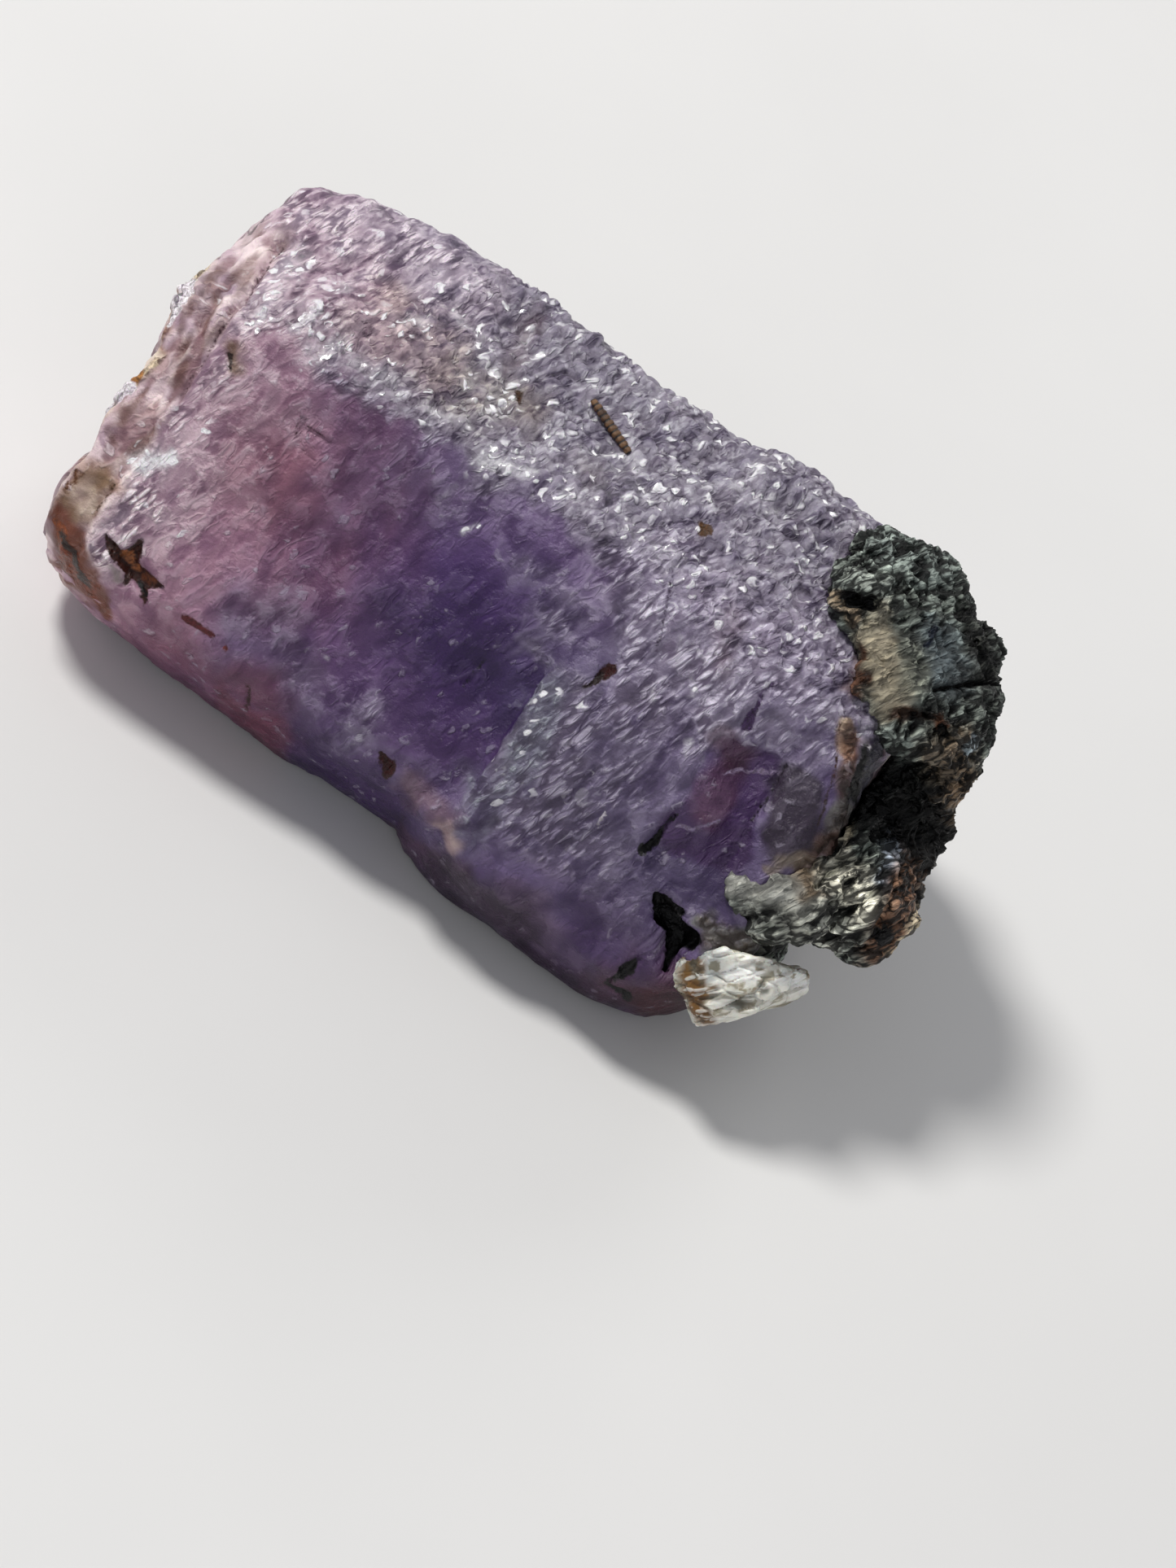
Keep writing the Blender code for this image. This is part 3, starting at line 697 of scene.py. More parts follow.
# Soft colours: from and to, radius or radii, softness, colour or its name in the looks, strength
BODY_ZONES = [
    ((-11.0, 3.0), (-11.0, -4.0), 3.8, 0.7, srgb(202, 164, 174), 1.0),
    ((-7.4, 3.0), (-7.1, -4.0), 1.7, 0.7, "mauve", 0.85),
    ((-6.0, -0.5), (-4.8, -1.3), 1.2, 1.0, srgb(150, 84, 94), 0.6),
    ((-4.4, 1.4), (-4.0, -2.6), 1.3, 1.0, srgb(112, 66, 96), 0.8),
    ((-2.9, 1.0), (-2.5, -3.5), 1.4, 1.0, srgb(92, 54, 100), 0.85),
    ((-2.6, 1.8), (0.9, 1.4), 1.1, 1.0, srgb(104, 78, 122), 0.85),
    ((-1.0, -0.2), (0.5, -0.9), 1.3, 1.0, "violet", 0.9),
    ((-0.5, -1.7), (0.7, -2.1), 1.7, 0.9, "core", 1.0),
    ((-2.0, -3.7), (0.8, -3.9), 1.0, 1.0, srgb(78, 44, 98), 0.7),
    ((2.0, -1.6), (4.6, -3.6), 1.3, 0.8, srgb(74, 58, 100), 0.7),
    ((-6.5, -5.2), (-3.2, -5.4), 0.7, 0.8, srgb(116, 62, 86), 0.8),
    ((-4.2, -5.4), (-3.4, -5.6), 0.4, 0.9, srgb(98, 34, 48), 0.6),
    ((-2.2, -5.4), (0.2, -5.5), 0.8, 1.0, srgb(48, 12, 74), 1.0),
    ((0.4, -5.9), (1.6, -6.1), 0.5, 0.7, srgb(76, 46, 68), 0.8),
    ((2.0, -6.3), (6.0, -6.7), 0.6, 0.7, srgb(40, 14, 42), 0.95),
    ((3.2, -5.9), (5.6, -5.9), 0.25, 0.8, srgb(112, 92, 116), 0.5),
    # The dark red on the lower right lip is painted shade.
    ((7.2, -6.0), (8.6, -5.8), 1.0, 0.8, srgb(58, 10, 18), 0.95),
    ((6.0, -4.6), (5.2, -5.4), 0.7, 0.8, srgb(52, 26, 72), 0.8),
    ((5.8, -3.2), (6.8, -3.6), 0.6, 0.8, srgb(50, 30, 78), 0.8)]
VEIL_ZONES = [
    ((-9.6, 4.0), (-9.0, -3.4), 2.4, 0.6, srgb(252, 240, 244), 1.0),
    ((-8.9, 4.6), (-5.4, 5.2), 1.4, 0.8, srgb(253, 240, 247), 0.95),
    ((-3.9, 3.5), (-2.2, 3.6), 0.6, 0.8, srgb(206, 200, 172), 0.6),
    ((-6.2, 3.8), (-4.6, 3.6), 0.8, 0.8, srgb(222, 196, 186), 0.6),
    ((1.6, -1.2), (1.9, -4.6), 0.5, 0.8, srgb(170, 178, 182), 0.8),
    ((3.0, 1.6), (6.0, 1.6), 1.7, 0.8, srgb(238, 230, 246), 0.95),
    ((2.6, -5.6), (6.0, -6.0), 0.8, 0.8, srgb(120, 100, 124), 0.8)]
CRYSTAL_STAINS = [
    ((6.6, -0.2), (6.8, -1.6), 0.42, 0.25, srgb(60, 30, 78), 0.9),
    ((5.9, -2.4), (7.1, -2.1), 0.55, 0.25, srgb(56, 28, 72), 0.9),
    ((5.5, -0.1), (6.1, -0.3), 0.35, 0.5, srgb(64, 26, 52), 0.9),
    ((6.0, -0.9), (6.1, -1.6), 0.4, 0.6, srgb(96, 50, 66), 0.6),
    ((8.6, 1.7), (8.95, 0.5), (0.2, 0.3), 0.4, srgb(30, 32, 42), 0.9),
    ((7.5, -0.2), (8.1, -1.2), 0.6, 0.25, srgb(40, 28, 40), 0.9),
    ((-10.25, 3.0), (-10.2, 1.6), 0.22, 0.6, srgb(214, 196, 164), 0.9),
    ((-10.2, 1.6), (-9.95, 0.4), 0.14, 0.6, srgb(170, 130, 84), 0.8),
    ((-9.9, 0.3), (-10.2, -2.1), (0.12, 0.2), 0.6, srgb(224, 208, 184), 0.85),
    ((-9.8, 2.6), (-9.75, 0.9), 0.1, 0.7, srgb(120, 84, 70), 0.7),
    ((-9.95, -2.8), (-9.15, -2.75), 0.2, 0.7, srgb(150, 90, 34), 0.6),
    ((-9.5, -3.0), (-9.5, -3.8), 0.42, 0.6, srgb(122, 94, 54), 0.85),
    ((-9.55, -3.3), (-9.42, -3.6), 0.15, 0.8, CREAM, 0.55),
    ((-9.3, -3.3), (-9.2, -3.6), 0.1, 0.8, BROWN, 0.7),
    ((-9.75, -4.1), (-9.1, -4.75), (0.22, 0.45), 0.5, ORANGE_BROWN, 1.0),
    ((-9.2, -4.75), (-7.9, -5.1), (0.4, 0.16), 0.5, ORANGE_BROWN, 1.0),
    ((-8.5, 1.2), (-8.2, 0.9), 0.2, 0.7, OLIVE, 0.9), ((-9.5, 2.1), (-9.25, 1.2), 0.14, 0.7, BROWN, 0.6),
    ((-9.4, 0.9), (-9.3, -0.2), 0.12, 0.7, BROWN, 0.6), ((-9.6, -0.6), (-9.7, -2.0), 0.1, 0.7, BROWN, 0.6),
    ((-8.25, -4.42), (-8.0, -4.5), 0.13, 0.6, srgb(128, 126, 110), 0.8),
    ((1.25, -5.12), (1.75, -5.4), (0.1, 0.2), 0.6, srgb(196, 172, 158), 0.75),
    ((0.1, -4.75), (1.3, -5.0), 0.24, 0.8, srgb(124, 98, 102), 0.6),
    ((-3.3, 5.6), (-3.1, 4.4), 0.3, 0.8, srgb(104, 66, 56), 0.6),
    ((-2.7, 3.9), (-2.2, 3.7), 0.3, 0.8, srgb(176, 160, 118), 0.4),
    ((-0.5, 3.4), (-0.1, 3.3), 0.3, 0.8, srgb(176, 172, 128), 0.3),
    ((-6.3, 4.4), (-6.0, 4.25), 0.25, 0.8, srgb(150, 122, 80), 0.4),
    ((7.0, 3.4), (7.4, 2.4), (0.1, 0.18), 0.6, BROWN, 0.8),
    ((4.2, 2.3), (4.6, 1.3), 0.3, 0.8, srgb(150, 118, 100), 0.35),
    ((-5.4, 3.6), (-4.4, 3.2), 0.4, 0.8, srgb(150, 118, 106), 0.3),
    ((7.55, 1.7), (7.95, 1.25), (0.12, 0.22), 0.4, srgb(212, 188, 140), 0.9),
    ((8.0, 1.3), (8.25, 0.9), 0.22, 0.5, srgb(150, 104, 58), 0.9),
    ((8.25, 0.8), (8.6, 0.1), (0.22, 0.14), 0.5, srgb(86, 66, 52), 0.9),
    ((8.35, 1.5), (8.9, 0.3), (0.12, 0.25), 0.5, srgb(54, 58, 66), 0.9),
    ((8.7, 0.0), (8.75, -0.7), 0.25, 0.4, srgb(124, 126, 112), 0.9),
    ((8.75, -0.8), (8.55, -1.5), (0.28, 0.2), 0.4, srgb(100, 76, 60), 0.9),
    ((8.5, -1.4), (8.0, -2.0), (0.2, 0.1), 0.6, srgb(128, 116, 98), 0.8),
    ((7.4, -3.75), (8.5, -3.7), (0.2, 0.36), 0.4, srgb(120, 122, 112), 0.9),
    ((7.8, -4.1), (8.5, -4.1), 0.25, 0.5, srgb(98, 96, 86), 0.9)]

# Crisp marks: from and to, radius or radii, colour. A later one lies over an earlier one.
STAR_CENTRE = [
    ((-8.1, -4.0), (-7.75, -4.1), (0.1, 0.06), srgb(150, 92, 54)),
    ((-7.55, -4.2), (-7.3, -4.17), 0.07, srgb(104, 54, 26)), ((-7.5, -4.4), (-7.3, -4.5), 0.07, BLACK)]
FINE_MARKS = [
    ((-9.75, -4.15), (-9.3, -4.7), (0.07, 0.2), srgb(124, 60, 20)),
    ((-9.3, -4.7), (-8.2, -5.05), (0.2, 0.08), srgb(116, 48, 14)),
    ((-9.6, -4.35), (-9.05, -4.75), (0.05, 0.1), DARK_BROWN),
    ((-8.9, -4.8), (-8.45, -4.95), (0.07, 0.04), DARK_BROWN),
    ((-9.2, -2.85), (-9.15, -3.5), (0.04, 0.02), srgb(78, 50, 26)),
    ((-9.8, -2.95), (-9.72, -3.6), (0.04, 0.02), BROWN),
    ((-8.5, 1.1), (-8.3, 0.85), (0.07, 0.04), DARK_BROWN),
    ((-0.78, -4.62), (-0.5, -4.78), (0.05, 0.16), DARK_RED),
    ((2.57, -0.2), (2.5, -0.4), 0.12, srgb(54, 8, 9)),
    ((2.45, -0.45), (2.34, -0.85), (0.1, 0.04), srgb(30, 8, 8)),
    ((-6.18, -4.45), (-5.48, -4.43), (0.09, 0.06), srgb(88, 26, 32)),
    ((-5.07, -4.55), (-5.03, -4.57), 0.06, srgb(104, 38, 34)),
    ((-4.16, -4.9), (-4.0, -5.22), (0.03, 0.06), DARK_RED),
    ((-6.3, 0.72), (-6.2, 0.35), (0.05, 0.02), srgb(60, 22, 32)),
    ((-6.2, 0.68), (-5.6, 0.7), 0.015, srgb(84, 54, 70)),
    ((-2.65, 3.92), (-2.5, 3.8), 0.1, srgb(62, 36, 14)),
    ((2.42, 3.8), (2.6, 3.62), (0.07, 0.15), srgb(84, 56, 28)),
    ((-9.0, 3.9), (-8.97, 2.2), 0.02, srgb(94, 62, 72)),
    ((-8.96, 1.9), (-8.95, -0.3), 0.02, srgb(94, 62, 72)),
    ((0.05, -1.6), (-0.05, -2.3), 0.03, srgb(26, 12, 44)),
    ((7.0, 0.1), (7.1, -1.3), 0.03, srgb(34, 22, 40)), ((2.5, 2.5), (3.2, 0.7), 0.02, srgb(80, 66, 92)),
    ((5.8, 0.4), (5.75, 1.5), (0.12, 0.02), srgb(72, 50, 92)),
    ((4.22, -2.9), (4.16, -3.4), (0.035, 0.015), WHITE),
    ((-10.12, 2.8), (-10.08, 2.0), (0.06, 0.12), CREAM), ((-10.08, 2.0), (-9.95, 0.9), (0.13, 0.07), WHITE),
    ((-9.82, 0.1), (-9.97, -0.8), (0.05, 0.13), CREAM),
    ((-9.97, -0.7), (-10.08, -2.0), (0.14, 0.06), WHITE),
    ((-9.93, -0.3), (-9.9, -0.55), 0.06, srgb(176, 124, 66)),
    ((6.0, -0.8), (6.9, -0.1), (0.03, 0.04), srgb(150, 136, 166)),
    ((5.75, -2.3), (6.1, -2.2), 0.03, srgb(140, 128, 158)),
    ((6.1, -2.2), (6.45, -1.7), 0.03, srgb(140, 128, 158)),
    ((7.55, 1.6), (8.1, 0.5), 0.03, srgb(70, 36, 20)), ((8.1, 0.5), (8.4, -0.6), 0.03, srgb(52, 34, 30)),
    ((8.3, 1.5), (8.7, 0.4), (0.05, 0.12), BLACK), ((8.9, 0.2), (9.0, -0.5), (0.05, 0.12), BLACK)]
CRYSTAL_MARKS = [(start, end, tuple(r * 0.95 for r in radius), DARK_RUST) for start, end, radius, _ in STAR]
CRYSTAL_MARKS += STAR_CENTRE + [(*stroke, BLACK) for *stroke, _ in CLEFT + CRACK] + FINE_MARKS

# Painted highlights, where scales and grains catch the light: from and to, radius or radii, amount
SHINING = [
    ((-9.0, -2.1), (-8.2, -1.3), (0.38, 0.16), 0.45), ((-8.9, -2.05), (-8.4, -1.6), (0.34, 0.22), 1.4),
    ((-8.6, 3.9), (-8.4, 2.4), (0.35, 0.2), 0.8), ((-7.55, 2.4), (-7.35, 3.0), (0.17, 0.12), 1.2),
    ((-8.45, 2.4), (-8.4, 2.1), 0.13, 1.2), ((-7.3, 3.7), (-7.1, 3.85), 0.15, 0.9),
    ((-8.4, -0.6), (-7.8, -2.9), 0.5, 0.4), ((-7.0, 1.9), (-6.5, 2.6), 0.25, 0.8),
    ((-6.0, 2.5), (-5.0, 2.6), 0.2, 0.8), ((-4.1, 2.5), (-3.1, 2.65), 0.2, 0.9),
    ((-2.35, 2.2), (-1.35, 2.55), (0.3, 0.2), 1.15), ((-0.7, 2.4), (0.3, 3.1), 0.26, 0.6),
    ((1.2, 2.4), (2.5, 2.6), 0.32, 0.7), ((-0.2, 3.8), (1.2, 3.6), 0.3, 0.6),
    ((0.2, 4.2), (0.6, 4.05), 0.2, 0.9), ((-0.7, 5.9), (0.6, 5.7), 0.25, 0.4),
    ((2.6, 4.9), (2.75, 5.0), 0.16, 1.0), ((3.65, 4.85), (3.75, 4.95), 0.15, 1.0),
    ((-5.6, 4.0), (-5.3, 4.2), 0.2, 0.9), ((-4.8, 4.65), (-4.0, 4.6), 0.16, 0.8),
    ((-3.8, 3.5), (-2.7, 3.7), 0.3, 0.7), ((1.5, 5.6), (4.4, 5.2), 0.5, 0.3),
    ((1.75, -1.2), (1.65, -3.3), 0.2, 0.5), ((2.4, -1.4), (2.6, -0.7), 0.14, 0.45),
    ((4.9, -0.6), (5.0, -0.9), (0.12, 0.06), 0.95), ((3.5, 1.2), (3.7, 0.8), (0.13, 0.05), 0.85),
    ((4.2, 0.6), (4.4, 0.3), (0.06, 0.12), 0.85), ((3.6, 0.0), (3.7, -0.3), 0.1, 0.9),
    ((1.8, -4.2), (2.3, -3.2), 0.25, 0.25), ((-3.1, -3.5), (-3.0, -3.52), 0.08, 0.9),
    ((-1.7, 0.9), (-1.85, 0.6), 0.09, 1.0), ((-2.6, 1.35), (-2.75, 0.9), 0.12, 0.6),
    ((5.4, 2.6), (5.8, 3.4), 0.25, 0.4)]
# How frosted the front is: from and to, radius, softness, amount
FROSTED = [
    ((-9.6, 3.6), (-9.6, -4.6), 1.7, 0.6, 0.84), ((-8.7, 3.6), (-8.4, 1.4), 0.7, 0.8, 0.95),
    ((-7.7, 3.4), (-7.5, -1.6), 1.2, 0.8, 0.4), ((-6.2, -1.0), (-5.6, -4.2), 0.8, 0.9, 0.12),
    ((-0.8, -1.4), (0.6, -2.6), 1.7, 0.6, 0.02), ((-3.4, -1.5), (-3.0, -3.0), 0.9, 0.9, 0.1),
    ((-3.6, 1.6), (-1.6, 1.5), 0.7, 0.9, 0.3), ((-0.2, 0.7), (1.0, 0.2), 0.4, 0.8, 0.5),
    ((-1.9, -3.9), (-1.3, -4.4), 0.35, 0.8, 0.5), ((-3.7, -3.9), (-3.0, -4.4), 0.4, 0.8, 0.4),
    ((0.9, -0.6), (1.3, -1.0), 0.25, 0.8, 0.45), ((-2.8, 1.2), (-2.5, 0.8), 0.25, 0.8, 0.4),
    ((-5.4, -3.8), (-4.2, -3.1), 0.35, 0.8, 0.4), ((-6.8, -0.6), (-6.2, -1.6), 0.3, 0.8, 0.35),
    ((1.2, -4.0), (1.6, -4.9), 0.35, 0.8, 0.45), ((3.0, -5.7), (4.6, -5.9), 0.35, 0.8, 0.35),
    ((3.2, 2.4), (7.0, 2.6), 1.7, 0.6, 0.95), ((3.4, 0.6), (4.6, 0.2), 1.2, 0.7, 0.85),
    ((6.2, 1.0), (7.4, 0.8), 0.8, 0.8, 0.5)]


def frost_of(points, view, arc, ends):
    """How frosted each place is, from 0 on the smooth faces to 1 on the pebbly top."""
    wander = ripple(points, 1.1, 1) * 0.6
    fine_wander = ripple(points, 0.35, 8) * 0.12
    v, up = view[:, 1], arc + wander
    frost = 0.16 + 0.1 * ripple(points, 1.3, 9)
    uneven = drifted(points, drifted(points, view, 1.2, 0.5), 0.4, 0.25)
    for start, end, radius, softness, amount in FROSTED:
        frost += patch(uneven, start, end, radius, softness) * (amount - frost)
    stepped = ease(view[:, 0] + fine_wander, LEDGE_U - 0.05, LEDGE_U + 0.05) * ease(v, -0.4, -0.9)
    stepped *= ease(view[:, 0] + wander, 6.4, 3.4) * 0.7 + 0.3
    frost = np.maximum(frost, 0.66 * stepped * ease(v + 0.5 * wander, -5.6, -4.2))
    frost *= ease(up, -0.9, 0.5) * 0.85 + 0.15
    frost = np.maximum(frost, ease(up + 0.5 * ripple(points, 0.45, 14), CREST_ARC - 0.9, CREST_ARC + 0.1))
    behind = ease(arc, BACK_CREST_ARC - 0.3, BACK_CREST_ARC + 0.5)
    frost = frost * (1 - behind) + BACK_FROST * behind
    scar = np.maximum.reduce([patch(uneven, *place, 0.2) for place in SCARS])
    frost *= 1 - 0.85 * scar * (arc < CREST_ARC)
    frost = frost * (1 - ends) + END_FROST * ends
    # The lower right lip loses nearly all its frost, so that its painted shade stays dark.
    return np.clip(frost * (1 - 0.9 * patch(uneven, (7.0, -6.2), (8.6, -5.4), 1.2, 0.6)), 0, 1)


def places_on_crystal(piece, looks):
    """Where the crystal's points lie, and the masks that its relief and its colours share."""
    points, normals = points_of(piece), normals_of(piece)
    view, arc = to_view(points), round_prism(points)
    ends = ease(abs(normals[:, 0]), 0.8, 0.97)
    near_side = foremost(view, 1.0 + 0.4 * ripple(points, 0.5, 24))
    x, u, v = points[:, 0], view[:, 0], view[:, 1]
    flat = np.stack((np.where(ends > 0.5, points[:, 1], x),
                     np.where(ends > 0.5, points[:, 2], arc), np.zeros(len(x))), axis=1)
    bend = np.stack((ripple(points, 0.8, 2), ripple(points, 0.8, 3)), axis=1)
    along, across = leaning(flat[:, 0] + 0.16 * bend[:, 0], flat[:, 1] + 0.16 * bend[:, 1], SCALE_LEAN)
    folds = wrinkles(np.stack((along / 1.9, across / 0.75, flat[:, 2]), axis=1), 0.62, 3)
    near, second, chance = cells(
        (flat + 0.12 * np.pad(bend, ((0, 0), (0, 1)))) * np.array((1.15, 0.8, 1)) / looks.grain)
    grains = ease(second - near, 0.0, 0.35) * (0.3 + 0.7 * chance) * np.clip(1.2 - near ** 2, 0, 1)
    pebbly = ease(arc + 0.9 * ease(u, 1.8, 4.2) + 0.8 * ripple(points, 1.4, 12)
                  + 0.5 * ripple(points, 0.5, 13), CREST_ARC - 0.6, CREST_ARC + 0.4)
    corner = ease(u - 0.7 * (v - 4.0) + 0.6 * bend[:, 1], -5.4, -7.6) * ease(v, 2.2, 3.4)
    pebbly *= 1 - 0.8 * corner
    climb = 5 + 2.4 * ripple(points, 3.2, 31) + 0.5 * ripple(points, 0.9, 32)
    streaks = 0.5 + 1.1 * ripple(view * np.array((1, 0.22, 0.22))
                                 + 0.08 * ripple(points, 0.5, 7)[:, None], 0.26, 6)
    rim = ease(u + 0.08 * bend[:, 1], -8.8, -9.05) * (1 - ends) * ease(v, 4.7, 3.7) * near_side
    return SimpleNamespace(
        points=points, normals=normals, view=view, ends=ends, near_side=near_side,
        seen=(normals @ TO_VIEWER > 0.03) & near_side, frost=frost_of(points, view, arc, ends),
        flat=flat, bend=bend, grains=grains, pebbly=pebbly, corner=corner, rim=rim, streaks=streaks,
        height=folds * (1 - pebbly) + grains * pebbly, climb=climb, brink=climb - np.floor(climb))


def shape_crystal(piece, at):
    """Works the frosting, scales, growth steps, ledge, pits and cracks into the crystal."""
    points, u, v = at.points, at.view[:, 0], at.view[:, 1]
    rise = (0.07 + 0.08 * at.pebbly) * np.maximum(at.frost, 0.35) * (at.height - 0.4)
    rise += 0.05 * ripple(points, 0.6, 3) * (0.35 + 0.65 * at.frost)
    rise += 0.08 * ripple(points, 1.7, 4)
    rise += at.ends * (GROWTH_STEP * (np.floor(at.climb) - 5 + ease(at.brink, 0.8, 1.0)))
    rise += 0.16 * ease(u, -7.4, -9.2) * ease(v, 2.8, 4.4) + 0.16 * ease(v, 4.9, 5.7)
    rise += 0.2 * ease(v, -4.5, -5.3) * ease(u, 2.2, 0.6)

    ledge = LEDGE_U + 0.06 * ripple(points, 0.35, 5) + 0.1 * ripple(points, 1.1, 6)
    rise += (LEDGE_RISE * ease(u, ledge - 0.05, ledge + 0.05) * ease(v, -0.5, -1.1)
             * ease(v, -5.3, -4.4) * at.seen)
    rise += 0.14 * at.rim * (np.clip(at.streaks, 0, 1) - 0.5)
    flow = 0.5 + 0.8 * ripple(np.stack((0.25 * (u + 0.8 * v), 0.62 * u - 0.78 * v, u * 0), axis=1)
                              + 0.15 * at.bend[:, :1], 0.3, 8)
    rise += 0.08 * at.corner * (1 - at.rim) * (flow - 0.5)
    rise -= 0.08 * patch(drifted(points, at.view, 0.5, 0.2), (6.35, 0.0), (6.3, -2.6), 0.95, 0.06) * at.seen
    uneven = drifted(points, at.view, 0.4, 0.06)
    rise -= dent(uneven, STAR + CLEFT + CRACK + HOLLOWS) * at.seen
    crusted = dent(uneven, FLAKES) * at.seen
    rise += crusted * (0.5 + at.grains)
    worn = ease(points[:, 2], 0.02, 0.25)
    points += at.normals * (rise * worn)[:, None]
    swell = sum(amount * ease(v, start, middle) * ease(v, end, middle)
                for start, middle, end, amount in RIM_SWELLS)
    points[:, 0] -= swell * ease(u, -9.3, -9.9)
    points[:, 2] = np.maximum(points[:, 2], 0.0)
    set_points(piece, points)
    keep(piece, "crust", np.clip(16 * crusted, 0, 1))


def blend_in(colours, mask, colour):
    """Turns the colours into one colour where the mask is 1."""
    colours += mask[:, None] * (np.array(colour) - colours)


def paint_crystal(piece, at, looks):
    """Lays the colour zones (with painted shade on the lower right lip), stains, veils, painted glints and
    dark marks, for the material to read.
    """
    points, view, ends = at.points, at.view, at.ends
    u, v = view[:, 0], view[:, 1]
    body = np.tile(PALE_VIOLET, (len(u), 1))
    broad = drifted(points, drifted(points, view, 1.6, 0.6), 0.5, 0.2)
    broad[:, 0] += 0.55 * ripple(np.stack((u + 0.25 * v, 0.22 * v, 0 * v), axis=1)
                                 + 0.1 * at.bend[:, :1], 0.45, 23)
    wash(body, broad, coloured(BODY_ZONES, looks))
    blend_in(body, 0.5 * ends, srgb(196, 174, 178))
    blend_in(body, 0.8 * ends * ease(ripple(points, 1.3, 33), 0.15, 0.6), srgb(214, 200, 178))
    blend_in(body, 0.75 * ends * ease(abs(at.brink - 0.9), 0.16, 0.04), srgb(104, 70, 56))
    blend_in(body, 0.85 * at.rim, srgb(152, 110, 106))
    blend_in(body, 0.9 * (at.rim * ease(at.streaks, 0.35, 0.65)), srgb(250, 230, 224))
    rusty = at.rim * ease(ripple(view * np.array((1, 0.3, 0.3)), 0.35, 11), 0.1, 0.4)
    blend_in(body, 0.65 * rusty, srgb(120, 82, 56))
    stained = body.copy()
    cover = at.near_side * wash(stained, drifted(points, view, 0.4, 0.18), CRYSTAL_STAINS)
    body[at.near_side] = stained[at.near_side]
    veil = np.tile(tuple(looks.frost), (len(u), 1))
    blend_in(veil, at.pebbly * 0.85, srgb(226, 225, 229))
    wash(veil, broad, VEIL_ZONES)
    glinting = drifted(points, view, 0.3, 0.12)
    shine = np.maximum.reduce([amount * patch(glinting, start, end, radius, 0.8)
                               for start, end, radius, amount in SHINING])
    for name, values in (("frost", at.frost * (1 - 0.8 * cover) * (1 - 0.7 * at.rim)), ("relief", at.height),
                         ("pebbly", at.pebbly), ("wrap", at.flat), ("shine", shine * at.seen)):
        keep(piece, name, values)
    keep_colour(piece, "tint", body)
    keep_colour(piece, "veil", veil)
    crisp_marks(piece, points, view, (at.normals @ TO_VIEWER > -0.4) & at.near_side, CRYSTAL_MARKS)


